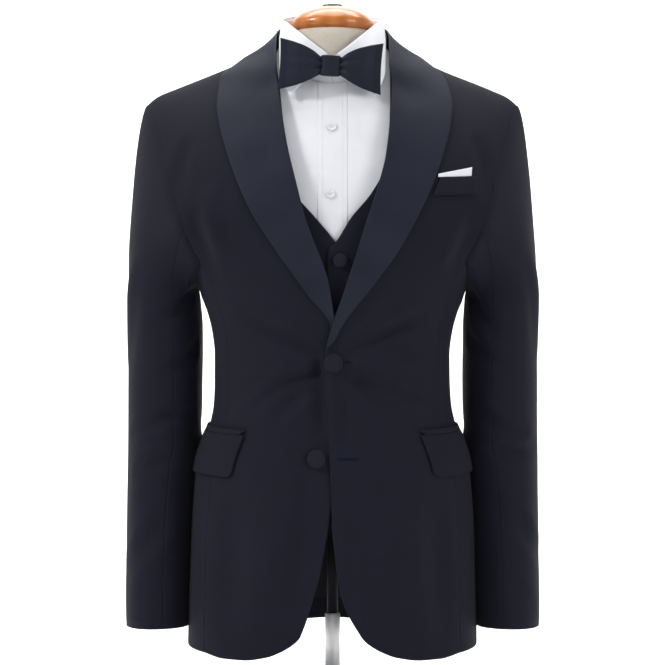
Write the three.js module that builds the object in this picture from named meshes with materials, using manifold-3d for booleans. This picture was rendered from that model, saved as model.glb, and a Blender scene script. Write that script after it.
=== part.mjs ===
// A tuxedo on a limbless dress form: dinner jacket, waistcoat, shirt, bow tie and pocket square.
// Millimetres, +Z up. The garment faces -Y and the wearer's left is +X.
// The origin is the centre of the underside of the form's base.

import * as THREE from 'three';
import { mergeVertices } from 'three/addons/utils/BufferGeometryUtils.js';
import Module from 'manifold-3d';

const wasm = await Module();
wasm.setup();

// Torso sections: half width, depth to the front and depth to the back, by height
const BODY = [
  { z: 68, half: 180.5, front: 128, back: 120 },
  { z: 131, half: 179.5, front: 128, back: 120 },
  { z: 187, half: 178, front: 128, back: 120 },
  { z: 229, half: 176, front: 128, back: 120 },
  { z: 264, half: 173.5, front: 127, back: 118 },
  { z: 302, half: 170, front: 125.5, back: 114 },
  { z: 332, half: 160, front: 124, back: 110 },
  { z: 350, half: 152.5, front: 124, back: 108 },
  { z: 375, half: 147.5, front: 124, back: 105 },
  { z: 406, half: 146, front: 124, back: 104 },
  { z: 434, half: 146, front: 124, back: 104.5 },
  { z: 462, half: 149, front: 125, back: 106 },
  { z: 483, half: 154, front: 127, back: 109 },
  { z: 502, half: 161, front: 129.5, back: 112 },
  { z: 520, half: 168, front: 131, back: 115 },
  { z: 545, half: 184, front: 131, back: 119 },
  { z: 570, half: 212, front: 131, back: 121 },
  { z: 600, half: 236, front: 131, back: 122 },
  { z: 660, half: 236, front: 131, back: 122 },
];
const ROUNDNESS = 2.4;

// Above the yoke the front and the back arch over and meet along the shoulder ridge
const YOKE_Z = 600;
const RIDGE_Y = 10;
const RIDGE_SEAM = 0.4;
const FRONT_ARCH = 1.45;
const BACK_ARCH = 1.9;
const FRONT_TOP = YOKE_Z + 89.4;
const BACK_TOP = YOKE_Z + 89.7;
const RIDGE = [
  { x: -40, front: 836, back: 858 },
  { x: 0, front: 841, back: 880 },
  { x: 40, front: 836, back: 858 },
  { x: 60, front: 829, back: 836 },
  { x: 72, front: 820, back: 821 },
  { x: 85, front: 813, back: 813 },
  { x: 99, front: 807.5, back: 807.5 },
  { x: 144, front: 788, back: 788 },
  { x: 199, front: 766, back: 766 },
  { x: 218, front: 757.5, back: 757.5 },
  { x: 231, front: 747, back: 747 },
  { x: 240, front: 735, back: 735 },
];

// How far each layer's outer face lies inside the jacket's, round the body and at the shoulder
const JACKET = { girth: 0, ridge: 0, thick: 2 };
const LINING = { girth: 2.6, ridge: 2.6, thick: 1 };
const WAISTCOAT = { girth: 9, ridge: 3.2, thick: 1.6 };
const SHIRT = { girth: 15.6, ridge: 7, thick: 1 };
const FORM = { girth: 18.9, ridge: 8.7, flatWithin: 99 };
const SEAM_GAP = 0.6;
const SEAM_TURN = 0.25;
const SIDE_SEAM = 0.86;

// Jacket front: the edge and roll line, by height, as seen on the wearer's right and left front
const FRONT_EDGE = [
  { z: 98, right: -46.9, left: 36 },
  { z: 122, right: -31.8, left: 19.5 },
  { z: 143, right: -23.6, left: 11.5 },
  { z: 173, right: -15.2, left: 5.5 },
  { z: 200, right: -10.2, left: 2.5 },
  { z: 225, right: -5.9, left: -0.2 },
  { z: 265, right: 0, left: -1.2 },
  { z: 311, right: 4, left: -3.6 },
  { z: 362, right: 9, left: -5.2 },
  { z: 410, right: 14, left: -8.3 },
  { z: 430, right: 15, left: -8.6 },
  { z: 445, right: 13.5, left: -6.9 },
  { z: 476, right: 2.5, left: 1.6 },
  { z: 498, right: -0.7, left: 9.5 },
  { z: 529, right: -6.9, left: 19.8 },
  { z: 562, right: -18.9, left: 30.6 },
  { z: 594, right: -31.5, left: 40.5 },
  { z: 628, right: -40.5, left: 51.8 },
  { z: 675, right: -52.2, left: 64.2 },
  { z: 722, right: -60.6, left: 69.7 },
  { z: 757, right: -64.6, left: 71 },
  { z: 790, right: -69.5, left: 71.5 },
  { z: 820, right: -72.5, left: 72.5 },
];
const OVERLAP_WIDTH = 45;
const OVERLAP_EDGE = -60;

// Hem heights along each panel, and the height where the skirt's rows run level again
const SKIRT_LOW = 98;
const SKIRT_TOP = 200;
const FRONT_HEM = [
  { along: 0, z: 98 },
  { along: 0.1, z: 87 },
  { along: 0.25, z: 76.5 },
  { along: 0.4, z: 70.8 },
  { along: 0.58, z: 68 },
  { along: 0.8, z: 68.6 },
  { along: 1, z: 73 },
];
const SIDE_HEM = [
  { along: 0, z: 73 },
  { along: 0.5, z: 77 },
  { along: 1, z: 80 },
];
const BACK_HEM = [
  { along: 0, z: 92 },
  { along: 0.5, z: 87 },
  { along: 1, z: 80 },
];

// Armhole: half width between the front and back armholes, and the scoop under the arm
const ARMHOLE_Z = 548;
const SHOULDER_X = 231;
const UNDERARM_SCOOP = 30;
const SCOOP_FROM = 500;

// Sleeve sections: inner and outer side, centre and half depth, by height
const SLEEVE = [
  { z: 98.5, inner: 185.5, outer: 257, centre: -2, depth: 56 },
  { z: 131, inner: 185, outer: 257, centre: 0, depth: 57.5 },
  { z: 187, inner: 183.5, outer: 257, centre: 4, depth: 60 },
  { z: 229, inner: 181.5, outer: 257, centre: 8, depth: 62 },
  { z: 264, inner: 179, outer: 257, centre: 12, depth: 63.5 },
  { z: 300, inner: 175.5, outer: 257, centre: 15.5, depth: 65 },
  { z: 330, inner: 167.5, outer: 257, centre: 17.5, depth: 66 },
  { z: 380, inner: 164, outer: 257, centre: 18, depth: 67 },
  { z: 470, inner: 164, outer: 256, centre: 14, depth: 71 },
  { z: 505, inner: 166, outer: 256, centre: 12, depth: 72 },
];
const BICEP_Z = 505;
const SLEEVE_ROUNDNESS = 2.2;
const SLEEVE_SEAM = 0.3;
const SLEEVE_SEAM_GAP = 0.0009;
const CUFF_Z = 98.5;

const finish = (name, color, roughness, metalness = 0) => {
  return new THREE.MeshStandardMaterial({ name, color, roughness, metalness });
};
const CLOTH = finish('navy wool', 0x1c1f2b, 0.9);
const SATIN = finish('navy satin', 0x242836, 0.45);
const LINING_CLOTH = finish('grey lining', 0x2b2c31, 0.5);
const COTTON = finish('white cotton', 0xeceef2, 0.85);
const SHIRT_BUTTON = finish('white button', 0xe6e6ea, 0.3);
const CALICO = finish('calico', 0xcdc5b9, 0.9);
const WOOD = finish('varnished wood', 0xb4652a, 0.35);
const METAL = finish('chrome', 0xb8b9bd, 0.2, 1);

const tuxedo = new THREE.Group();
const dressForm = new THREE.Group();
const { clamp, lerp, degToRad, radToDeg, smoothstep } = THREE.MathUtils;

// Smooth curve through a table's rows, with no overshoot, running on straight past both ends
function curve(rows, key, column, at) {
  const last = rows.length - 1;
  const slope = (i) => (rows[i + 1][column] - rows[i][column]) / (rows[i + 1][key] - rows[i][key]);
  const tangent = (i) => {
    if (i === 0) return slope(0);
    if (i === last) return slope(last - 1);
    const before = slope(i - 1);
    const after = slope(i);
    return before * after <= 0 ? 0 : (2 * before * after) / (before + after);
  };
  if (at <= rows[0][key]) return rows[0][column] + slope(0) * (at - rows[0][key]);
  if (at >= rows[last][key]) return rows[last][column] + slope(last - 1) * (at - rows[last][key]);
  const i = rows.findIndex((row) => row[key] > at) - 1;
  const span = rows[i + 1][key] - rows[i][key];
  const t = (at - rows[i][key]) / span;
  const rise = t * t * (3 - 2 * t);
  return lerp(rows[i][column], rows[i + 1][column], rise)
    + span * t * (1 - t) * ((1 - t) * tangent(i) - t * tangent(i + 1));
}

const signedPower = (value, power) => Math.sign(value) * Math.abs(value) ** power;

// Depth of the torso's sheet at x, on the front (face -1) or the back (face 1)
function sheetY(layer, face, x, z) {
  const half = curve(BODY, 'z', 'half', z) - layer.girth;
  const depth = curve(BODY, 'z', face < 0 ? 'front' : 'back', z) - layer.girth;
  const across = Math.min(Math.abs(x) / half, 1);
  return face * depth * (1 - across ** ROUNDNESS) ** (1 / ROUNDNESS);
}

function ridgeZ(layer, face, x) {
  const across = Math.max(Math.abs(x), layer.flatWithin ?? 0);
  return curve(RIDGE, 'x', face < 0 ? 'front' : 'back', across) - layer.ridge;
}

// A level is a height up to the yoke, and YOKE_Z plus the degrees of turn over the shoulder above it
function torso(layer, face, x, level) {
  if (level <= YOKE_Z) return new THREE.Vector3(x, sheetY(layer, face, x, level), level);
  const turn = degToRad(Math.min(level - YOKE_Z, 90));
  const power = 2 / (face < 0 ? FRONT_ARCH : BACK_ARCH);
  const rise = Math.sin(turn) ** power;
  const reach = Math.cos(turn) ** power;
  const top = ridgeZ(layer, face, x);
  const seam = RIDGE_Y + face * RIDGE_SEAM;
  const y = seam + (sheetY(layer, face, x, YOKE_Z) - seam) * reach;
  return new THREE.Vector3(x, y, YOKE_Z + (top - YOKE_Z) * rise);
}

// The level at which the sheet passes through height z
function levelAt(layer, face, x, z) {
  if (z <= YOKE_Z) return z;
  const top = ridgeZ(layer, face, x);
  const rise = Math.min((z - YOKE_Z) / (top - YOKE_Z), 1);
  return YOKE_Z + radToDeg(Math.asin(rise ** ((face < 0 ? FRONT_ARCH : BACK_ARCH) / 2)));
}

// Point of a section at an angle from the side: negative angles are to the front
function flank(layer, side, angle, z) {
  const half = curve(BODY, 'z', 'half', z) - layer.girth;
  const depth = curve(BODY, 'z', angle < 0 ? 'front' : 'back', z) - layer.girth;
  const turn = degToRad(angle);
  const power = 2 / ROUNDNESS;
  const x = side * half * signedPower(Math.cos(turn), power);
  return new THREE.Vector3(x, depth * signedPower(Math.sin(turn), power), z);
}

const seamAngle = (ratio) => radToDeg(Math.acos(ratio ** (ROUNDNESS / 2)));

// A closed mesh from a triangle list, turned so that its faces point out
function solid(points, triangles) {
  const flat = triangles.flatMap((corners) => corners.flatMap((corner) => points[corner].toArray()));
  let volume = 0;
  for (const [a, b, c] of triangles) {
    volume += points[a].clone().cross(points[b]).dot(points[c]);
  }
  if (volume < 0) {
    for (let i = 0; i < flat.length; i += 9) {
      for (let k = 3; k < 6; k += 1) {
        [flat[i + k], flat[i + k + 3]] = [flat[i + k + 3], flat[i + k]];
      }
    }
  }
  const geometry = new THREE.BufferGeometry();
  geometry.setAttribute('position', new THREE.Float32BufferAttribute(flat, 3));
  const merged = mergeVertices(geometry, 1e-4);
  return withoutSlivers(merged);
}

// Triangles whose corners merged into one another are dropped
function withoutSlivers(geometry) {
  const index = geometry.getIndex().array;
  const kept = [];
  for (let i = 0; i < index.length; i += 3) {
    const [a, b, c] = [index[i], index[i + 1], index[i + 2]];
    if (a !== b && b !== c && c !== a) kept.push(a, b, c);
  }
  geometry.setIndex(kept);
  return geometry;
}

// A cloth wall: a grid of outer points, a second grid one thickness inside, and four rims.
// The core is a point on the wall's inner side.
function wall(point, across, along, thick, core, steps = { across: 0.002, along: 0.1 }) {
  const outer = [];
  const normals = [];
  let facing = 0;
  for (const v of along) {
    for (const u of across) {
      const at = point(u, v);
      const du = point(u + steps.across, v).sub(point(u - steps.across, v));
      const dv = point(u, v + steps.along).sub(point(u, v - steps.along));
      const normal = du.cross(dv).normalize();
      facing += normal.dot(at.clone().sub(core).normalize());
      outer.push(at);
      normals.push(normal);
    }
  }
  const depth = Math.sign(facing) * thick;
  const inner = outer.map((at, i) => at.clone().addScaledVector(normals[i], -depth));
  const columns = across.length;
  const rows = along.length;
  const count = outer.length;
  const triangles = [];
  const quad = (a, b, c, d) => triangles.push([a, b, c], [a, c, d]);
  for (let r = 0; r < rows - 1; r += 1) {
    for (let c = 0; c < columns - 1; c += 1) {
      const a = r * columns + c;
      const b = a + columns;
      quad(a, a + 1, b + 1, b);
      quad(a + count, b + count, b + 1 + count, a + 1 + count);
    }
    const left = r * columns;
    const right = left + columns - 1;
    quad(left, left + columns, left + columns + count, left + count);
    quad(right, right + count, right + columns + count, right + columns);
  }
  for (let c = 0; c < columns - 1; c += 1) {
    const top = (rows - 1) * columns + c;
    quad(c, c + count, c + 1 + count, c + 1);
    quad(top, top + 1, top + 1 + count, top + count);
  }
  return solid([...outer, ...inner], triangles);
}

// A smooth sheet through a grid of points, read by real-numbered column and row
function loft(grid) {
  const AXES = ['x', 'y', 'z'];
  return (u, v) => {
    const column = grid.map((row, r) => {
      const samples = row.map((at, c) => ({ c, x: at.x, y: at.y, z: at.z }));
      const found = { r };
      for (const axis of AXES) found[axis] = curve(samples, 'c', axis, u);
      return found;
    });
    return new THREE.Vector3(...AXES.map((axis) => curve(column, 'r', axis, v)));
  };
}
const LOFT_STEPS = { across: 0.02, along: 0.02 };

function add(group, name, geometry, material) {
  geometry.computeVertexNormals();
  const mesh = new THREE.Mesh(geometry, material);
  mesh.name = name;
  group.add(mesh);
  return mesh;
}

// A wall of the garment, placed in the tuxedo under its name
function addWall(name, material, ...shape) {
  return add(tuxedo, name, wall(...shape), material);
}

const BODY_CORE = new THREE.Vector3(0, 0, 400);
const SIDES = [{ name: 'left', side: 1 }, { name: 'right', side: -1 }];

// Panels, cut the same way for the jacket, the waistcoat and the shirt

const FRONT_COLUMNS = [0, 0.12, 0.27, 0.44, 0.61, 0.77, 0.9, 1];
const NECK_SPREAD = [0, 0.35, 0.65, 0.82, 0.92, 0.975, 1];
const SHOULDER_SPREAD = 130;
const SIDE_COLUMNS = [0, 0.2, 0.4, 0.6, 0.8, 1];
const CHEST_ROWS = [ARMHOLE_Z, 574, YOKE_Z];
const SHOULDER_ROWS = [615, 630, 645, 659, 671, 681];

// Rows between the hem and the skirt's top blend from the hem's curve to level
function hemmed(cut, hemZ, level) {
  if (level >= cut.skirtTop) return level;
  return hemZ + ((cut.skirtTop - hemZ) * (level - cut.skirtLow)) / (cut.skirtTop - cut.skirtLow);
}

// Half width between the armholes, by height, from the side seam up to the yoke
function armhole(layer, middle, top) {
  return [
    { z: ARMHOLE_Z, x: SIDE_SEAM * (curve(BODY, 'z', 'half', ARMHOLE_Z) - layer.girth) },
    { z: 577, x: middle },
    { z: YOKE_Z, x: top },
  ];
}

// Half width of a panel at its side seam, and above that at the armhole
function outerX(cut, face, level) {
  if (level <= ARMHOLE_Z) return SIDE_SEAM * (curve(BODY, 'z', 'half', level) - cut.layer.girth);
  if (level <= YOKE_Z) return curve(cut.armhole, 'z', 'x', level);
  const power = 2 / (face < 0 ? FRONT_ARCH : BACK_ARCH);
  const rise = Math.sin(degToRad(Math.min(level - YOKE_Z, 90))) ** power;
  return lerp(cut.armhole[2].x, cut.shoulder, rise);
}

// An edge at a level: past the yoke its height depends on where it lies, so it is refined
function edgeX(cut, edge, column, level) {
  if (level <= YOKE_Z) return curve(edge, 'z', column, level);
  let x = curve(edge, 'z', column, YOKE_Z);
  for (let pass = 0; pass < 12; pass += 1) {
    x = curve(edge, 'z', column, torso(cut.layer, -1, x, level).z);
  }
  return x;
}

// The wearer's right front passes under the left one where they overlap
function sinkUnderLeft(cut, at, side, level) {
  if (side > 0) return at;
  const across = smoothstep(at.x, OVERLAP_EDGE, OVERLAP_EDGE + OVERLAP_WIDTH);
  const up = smoothstep(level, cut.sinkFrom, cut.sinkFrom + 65);
  at.y += cut.sink * across * up;
  return at;
}

// The turn at which a sheet meets the oval round the neck
function neckTurn(cut, face, x) {
  const top = (face < 0 ? FRONT_TOP : BACK_TOP) - YOKE_Z;
  const across = Math.abs(x) / cut.oval.x;
  if (across >= 0.999) return top;
  const y = cut.oval.centre + face * cut.oval.y * Math.sqrt(1 - across * across);
  const reach = clamp((y - RIDGE_Y) / (sheetY(cut.layer, face, x, YOKE_Z) - RIDGE_Y), 0, 1);
  const power = (face < 0 ? FRONT_ARCH : BACK_ARCH) / 2;
  return Math.min(radToDeg(Math.acos(reach ** power)), top);
}

// Past the yoke the rows fan out so that the last one follows the neckline and the shoulder
function fanned(cut, face, x, level) {
  const top = face < 0 ? FRONT_TOP : BACK_TOP;
  if (level <= YOKE_Z) return level;
  return YOKE_Z + ((Math.min(level, top) - YOKE_Z) / (top - YOKE_Z)) * neckTurn(cut, face, x);
}

function frontPanel(cut, side) {
  const column = side > 0 ? 'left' : 'right';
  return (u, level) => {
    const inner = edgeX(cut, cut.edge, column, level);
    const seamZ = hemmed(cut, cut.frontHem.at(-1).z, level);
    const x = lerp(inner, side * outerX(cut, -1, seamZ), u);
    const z = hemmed(cut, curve(cut.frontHem, 'along', 'z', u), level);
    const placed = cut.fanFront ? fanned(cut, -1, x, z) : z;
    return sinkUnderLeft(cut, torso(cut.layer, -1, x, placed), side, level);
  };
}

function sidePanel(cut, side, seamTurn = SEAM_TURN) {
  const edge = seamAngle(SIDE_SEAM);
  return (u, level) => {
    const hung = hemmed(cut, curve(cut.sideHem, 'along', 'z', u), level);
    const scoop = cut.scoop * Math.sin(Math.PI * clamp(u, 0, 1));
    const z = hung - (scoop * Math.max(level - cut.scoopFrom, 0)) / (ARMHOLE_Z - cut.scoopFrom);
    return flank(cut.layer, side, lerp(SEAM_TURN - edge, edge - seamTurn, u), z);
  };
}

// Across a back the columns scale with the waist, and over the shoulders they stand still
function backPanel(cut, side, centre = SEAM_GAP / 2) {
  return (distance, level) => {
    const outer = outerX(cut, 1, hemmed(cut, cut.backHem.at(-1).z, Math.min(level, BACK_TOP)));
    const share = distance / cut.shoulder;
    const past = (distance - SHOULDER_SPREAD) / (cut.shoulder - SHOULDER_SPREAD);
    const still = past > 0 ? lerp(SHOULDER_SPREAD, outer, past) : distance;
    const x = centre + lerp(share * (outer - centre), still, smoothstep(level, 520, YOKE_Z));
    const z = hemmed(cut, curve(cut.backHem, 'along', 'z', share), level);
    return torso(cut.layer, 1, side * x, fanned(cut, 1, x, z));
  };
}

// Columns of a back: close together near the side of the neck, where the sheet turns over
function backColumns(cut, further) {
  return [...NECK_SPREAD.map((share) => share * cut.oval.x), ...further, cut.shoulder];
}
const BACK_STEPS = { across: 0.2, along: 0.1 };

// Walls that share an edge become one piece: the two rims that meet there cancel out
const WELD = 0.1;
function sewn(geometries) {
  const points = [];
  const weld = (at) => {
    const found = points.findIndex((known) => known.distanceToSquared(at) < WELD * WELD);
    return found < 0 ? points.push(at) - 1 : found;
  };
  const byCorners = new Map();
  for (const geometry of geometries) {
    const position = geometry.getAttribute('position');
    const welded = Array.from({ length: position.count }, (_, i) => {
      return weld(new THREE.Vector3().fromBufferAttribute(position, i));
    });
    const index = geometry.getIndex().array;
    for (let i = 0; i < index.length; i += 3) {
      const corners = [welded[index[i]], welded[index[i + 1]], welded[index[i + 2]]];
      const key = [...corners].sort((a, b) => a - b).join(' ');
      if (byCorners.has(key)) byCorners.delete(key);
      else byCorners.set(key, corners);
    }
  }
  return solid(points, [...byCorners.values()]);
}

// Manifold solids for joins
function toManifold(geometry) {
  const bare = geometry.clone();
  bare.deleteAttribute('normal');
  bare.deleteAttribute('uv');
  const merged = withoutSlivers(mergeVertices(bare, 1e-4));
  return new wasm.Manifold(new wasm.Mesh({
    numProp: 3,
    vertProperties: new Float32Array(merged.getAttribute('position').array),
    triVerts: new Uint32Array(merged.getIndex().array),
  }));
}

function joined(geometries) {
  const whole = geometries.map(toManifold).reduce((sum, next) => sum.add(next)).getMesh();
  const geometry = new THREE.BufferGeometry();
  const positions = new Float32Array(whole.vertProperties);
  geometry.setAttribute('position', new THREE.BufferAttribute(positions, 3));
  geometry.setIndex(Array.from(whole.triVerts));
  return geometry;
}

// Jacket body

const jacket = {
  layer: JACKET,
  edge: FRONT_EDGE,
  frontHem: FRONT_HEM,
  sideHem: SIDE_HEM,
  backHem: BACK_HEM,
  skirtLow: SKIRT_LOW,
  skirtTop: SKIRT_TOP,
  sink: 2.8,
  sinkFrom: 150,
  armhole: armhole(JACKET, 175, 184),
  shoulder: SHOULDER_X,
  scoop: UNDERARM_SCOOP,
  scoopFrom: SCOOP_FROM,
  oval: { x: 72, y: 72, centre: 6 },
  backFurther: [97, 130, 180],
};
const SKIRT_ROWS = [98, 122, 155, SKIRT_TOP];
const WAIST_ROWS = [250, 300, 332, 355, 385, 425, 462, 492, 520];
const JACKET_ROWS = [...SKIRT_ROWS, ...WAIST_ROWS, ...CHEST_ROWS, ...SHOULDER_ROWS];

for (const { name, side } of SIDES) {
  const fronts = [...JACKET_ROWS, FRONT_TOP];
  const backs = [...JACKET_ROWS, BACK_TOP];
  const flanks = [...SKIRT_ROWS, ...WAIST_ROWS, ARMHOLE_Z];
  const thick = JACKET.thick;
  const columns = backColumns(jacket, jacket.backFurther);
  const front = frontPanel(jacket, side);
  const underArm = sidePanel(jacket, side);
  const back = backPanel(jacket, side);
  addWall(`jacket_front_${name}`, CLOTH, front, FRONT_COLUMNS, fronts, thick, BODY_CORE);
  addWall(`jacket_side_${name}`, CLOTH, underArm, SIDE_COLUMNS, flanks, thick, BODY_CORE);
  addWall(`jacket_back_${name}`, CLOTH, back, columns, backs, thick, BODY_CORE, BACK_STEPS);
}

// The lining shows inside the back, between the tails
const LINING_ROWS = [130, 170, 215, 260, 305];
const LINING_HALF = 80;
const liningPoint = (u, level) => torso(LINING, 1, lerp(-LINING_HALF, LINING_HALF, u), level);
const LINING_COLUMNS = [0, 0.1, 0.22, 0.36, 0.5, 0.64, 0.78, 0.9, 1];
addWall('back_lining', LINING_CLOTH, liningPoint, LINING_COLUMNS, LINING_ROWS, LINING.thick, BODY_CORE);

// Sleeves: the cap runs from the armhole, out over the shoulder, to the bicep section

const ARMHOLE_SHARE = { shoulder: 0.27, notch: 0.36 };
const CAP_ROWS = [0, 0.07, 0.18, 0.34, 0.54, 0.77, 1];
const SLEEVE_ROWS_Z = [470, 420, 375, 335, 300, 262, 200, CUFF_Z];
const CAP_REACH = new THREE.Vector3(40, 0, -14);
const UNDERARM_REACH = new THREE.Vector3(4, 0, -12);
const SLEEVE_CORE = new THREE.Vector3(211, 14, 400);

// Round the armhole: 0 at the shoulder, 0.5 under the arm, going down the front
function armholeLoop(w) {
  const face = w < 0.5 ? -1 : 1;
  const from = Math.min(w, 1 - w);
  const { shoulder, notch } = ARMHOLE_SHARE;
  if (from < notch) {
    const level = from < shoulder
      ? YOKE_Z + 90 * (1 - from / shoulder)
      : lerp(YOKE_Z, ARMHOLE_Z, (from - shoulder) / (notch - shoulder));
    return torso(JACKET, face, outerX(jacket, face, level), level);
  }
  return sidePanel(jacket, 1)((w - notch) / (1 - 2 * notch), ARMHOLE_Z);
}

function sleeveSection(w, z) {
  const inner = curve(SLEEVE, 'z', 'inner', z);
  const outer = curve(SLEEVE, 'z', 'outer', z);
  const turn = 2 * Math.PI * w;
  const power = 2 / SLEEVE_ROUNDNESS;
  const x = (inner + outer) / 2 + ((outer - inner) / 2) * signedPower(Math.cos(turn), power);
  const y = curve(SLEEVE, 'z', 'centre', z)
    - curve(SLEEVE, 'z', 'depth', z) * signedPower(Math.sin(turn), power);
  return new THREE.Vector3(x, y, z);
}

// Down the sleeve: 0 to 1 over the cap, then one more for each 100 mm
function sleevePoint(side) {
  return (turns, down) => {
    const w = turns - Math.floor(turns);
    let at;
    if (down >= 1) {
      at = sleeveSection(w, BICEP_Z - (down - 1) * 100);
    } else {
      const start = armholeLoop(w);
      start.x += SEAM_GAP;
      const end = sleeveSection(w, BICEP_Z);
      const under = smoothstep(Math.min(w, 1 - w), 0.28, 0.5);
      const leave = CAP_REACH.clone().lerp(UNDERARM_REACH, under);
      const drop = -0.85 * Math.abs(start.z - end.z);
      at = start.lerp(end, down * down * (3 - 2 * down));
      at.addScaledVector(leave, down * (1 - down) * (1 - down));
      at.z -= drop * down * down * (1 - down);
    }
    at.x *= side;
    return at;
  };
}

function span(from, to, steps) {
  return Array.from({ length: steps + 1 }, (_, i) => lerp(from, to, i / steps));
}

const SLEEVE_DOWN = [...CAP_ROWS, ...SLEEVE_ROWS_Z.map((z) => 1 + (BICEP_Z - z) / 100)];
const SLEEVE_STEPS = { across: 0.001, along: 0.001 };
for (const { name, side } of SIDES) {
  const core = SLEEVE_CORE.clone();
  core.x *= side;
  const top = span(-SLEEVE_SEAM + SLEEVE_SEAM_GAP, SLEEVE_SEAM - SLEEVE_SEAM_GAP, 9);
  const under = span(SLEEVE_SEAM + SLEEVE_SEAM_GAP, 1 - SLEEVE_SEAM - SLEEVE_SEAM_GAP, 6);
  const point = sleevePoint(side);
  addWall(`sleeve_top_${name}`, CLOTH, point, top, SLEEVE_DOWN, JACKET.thick, core, SLEEVE_STEPS);
  addWall(`sleeve_under_${name}`, CLOTH, point, under, SLEEVE_DOWN, JACKET.thick, core, SLEEVE_STEPS);
}

// Shawl collar and lapels: from the roll line out over the front, and round the neck

const LAPEL_EDGE = [
  { z: 445, right: 2, left: -1 },
  { z: 472, right: -3, left: 13 },
  { z: 486, right: -11, left: 22.5 },
  { z: 500, right: -24, left: 34.5 },
  { z: 530, right: -46, left: 57.5 },
  { z: 565, right: -70.5, left: 82 },
  { z: 600, right: -93.5, left: 101 },
  { z: 628, right: -107.8, left: 115 },
  { z: 663, right: -121.7, left: 128.5 },
  { z: 695, right: -132.6, left: 139 },
  { z: 724, right: -139.7, left: 145.5 },
  { z: 754, right: -143.4, left: 148 },
];
const LAPEL_LIFT = 2.7;
const ROLL_PUFF = 2;
const LAPEL_THICK = 2;
const LAPEL_LEVELS = { left: [448, 462, 478, 492, 506], right: [486, 493, 501, 510] };
const LAPEL_CHEST = [520, 534, 548, 574, 600, 615, 630, 645, 655];
const LAPEL_COLUMNS = [0, 0.14, 0.38, 0.69, 1];
// Neck rows: the collar's outer edge on the sheet, its foot under the fold, and the fold line itself
const COLLAR_ROWS = [
  { face: -1, edgeX: 139, edgeTurn: 70, lift: 3.8, footX: 69.5, footTurn: 62, fold: [70.5, -48, 790] },
  { face: -1, edgeX: 122, edgeTurn: 80, lift: 3.8, footX: 71, footTurn: 74, fold: [70.7, -22, 817] },
  { face: -1, edgeX: 99, edgeTurn: 89, lift: 4.6, footX: 72, footTurn: 84, fold: [70.5, 6, 837] },
  { face: 1, edgeX: 84, edgeTurn: 77, lift: 5.4, footX: 66, footTurn: 73, fold: [67, 34, 846] },
  { face: 1, edgeX: 66, edgeTurn: 66.5, lift: 5, footX: 54, footTurn: 66, fold: [54, 58, 852] },
  { face: 1, edgeX: 40, edgeTurn: 56, lift: 4.2, footX: 32, footTurn: 57, fold: [30, 72, 855] },
  { face: 1, edgeX: 0.6, edgeTurn: 50, lift: 3.2, footX: 0.6, footTurn: 51.5, fold: [0.6, 77, 856] },
];

// The jacket's outer face, moved out along its normal
function onJacket(face, side, x, level, lift) {
  const sheet = (a, b) => sinkUnderLeft(jacket, torso(JACKET, face, a, b), side, b);
  const across = sheet(x + 0.2, level).sub(sheet(x - 0.2, level));
  const along = sheet(x, level + 0.1).sub(sheet(x, level - 0.1));
  const normal = across.cross(along).normalize();
  if (normal.z + face * normal.y < 0) normal.negate();
  return sheet(x, level).addScaledVector(normal, lift);
}

function lapelRow(side, face, foot, edge, fold, sharpness, lift) {
  const start = onJacket(face, side, foot.x, foot.level, lift);
  const raised = fold.clone().sub(start);
  return LAPEL_COLUMNS.map((u) => {
    const at = onJacket(face, side, lerp(foot.x, edge.x, u), lerp(foot.level, edge.level, u), lift);
    return at.addScaledVector(raised, (1 - u) ** sharpness);
  });
}

for (const { name, side } of SIDES) {
  const front = [...LAPEL_LEVELS[name], ...LAPEL_CHEST].map((level) => {
    const foot = { x: edgeX(jacket, FRONT_EDGE, name, level), level };
    const edge = { x: edgeX(jacket, LAPEL_EDGE, name, level), level };
    const fold = onJacket(-1, side, foot.x, level, LAPEL_LIFT + ROLL_PUFF);
    return lapelRow(side, -1, foot, edge, fold, 3, LAPEL_LIFT);
  });
  const neck = COLLAR_ROWS.map(({ face, edgeX: outX, edgeTurn, lift, footX, footTurn, fold }) => {
    const foot = { x: side * footX, level: YOKE_Z + footTurn };
    const edge = { x: side * outX, level: YOKE_Z + edgeTurn };
    const [foldX, foldY, foldZ] = fold;
    return lapelRow(side, face, foot, edge, new THREE.Vector3(side * foldX, foldY, foldZ), 1.2, lift);
  });
  const sheet = loft([...front, ...neck]);
  const columns = LAPEL_COLUMNS.map((_, i) => i);
  const lastRow = front.length + neck.length - 1;
  const rows = span(0, lastRow, lastRow);
  addWall(`shawl_collar_${name}`, SATIN, sheet, columns, rows, LAPEL_THICK, BODY_CORE, LOFT_STEPS);
}

// The collar stand rises inside the fold, from one front of the neck round to the other
const STAND = [
  { turn: -92, foot: 824, top: 833 },
  { turn: -60, foot: 828, top: 842 },
  { turn: -30, foot: 823, top: 849 },
  { turn: 0, foot: 818, top: 852.5 },
  { turn: 30, foot: 823, top: 849 },
  { turn: 60, foot: 828, top: 842 },
  { turn: 92, foot: 824, top: 833 },
];
const STAND_OVAL = { x: 69, y: 68, centre: 6 };

// Point of an oval round the neck, at a turn from the centre back
function onOval(oval, turn, z) {
  const angle = degToRad(turn);
  return new THREE.Vector3(oval.x * Math.sin(angle), oval.centre + oval.y * Math.cos(angle), z);
}

function standPoint(turn, up) {
  const z = lerp(curve(STAND, 'turn', 'foot', turn), curve(STAND, 'turn', 'top', turn), up);
  return onOval(STAND_OVAL, turn, z);
}
const NECK_CORE = new THREE.Vector3(0, 6, 830);
const NECK_STEPS = { across: 0.5, along: 0.01 };
const STAND_COLUMNS = span(STAND[0].turn, STAND.at(-1).turn, 14);
addWall('jacket_collar_stand', CLOTH, standPoint, STAND_COLUMNS, [0, 1], 2, NECK_CORE, NECK_STEPS);

// Pockets: flaps and jets lie on the hips, the welt on the left chest

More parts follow.
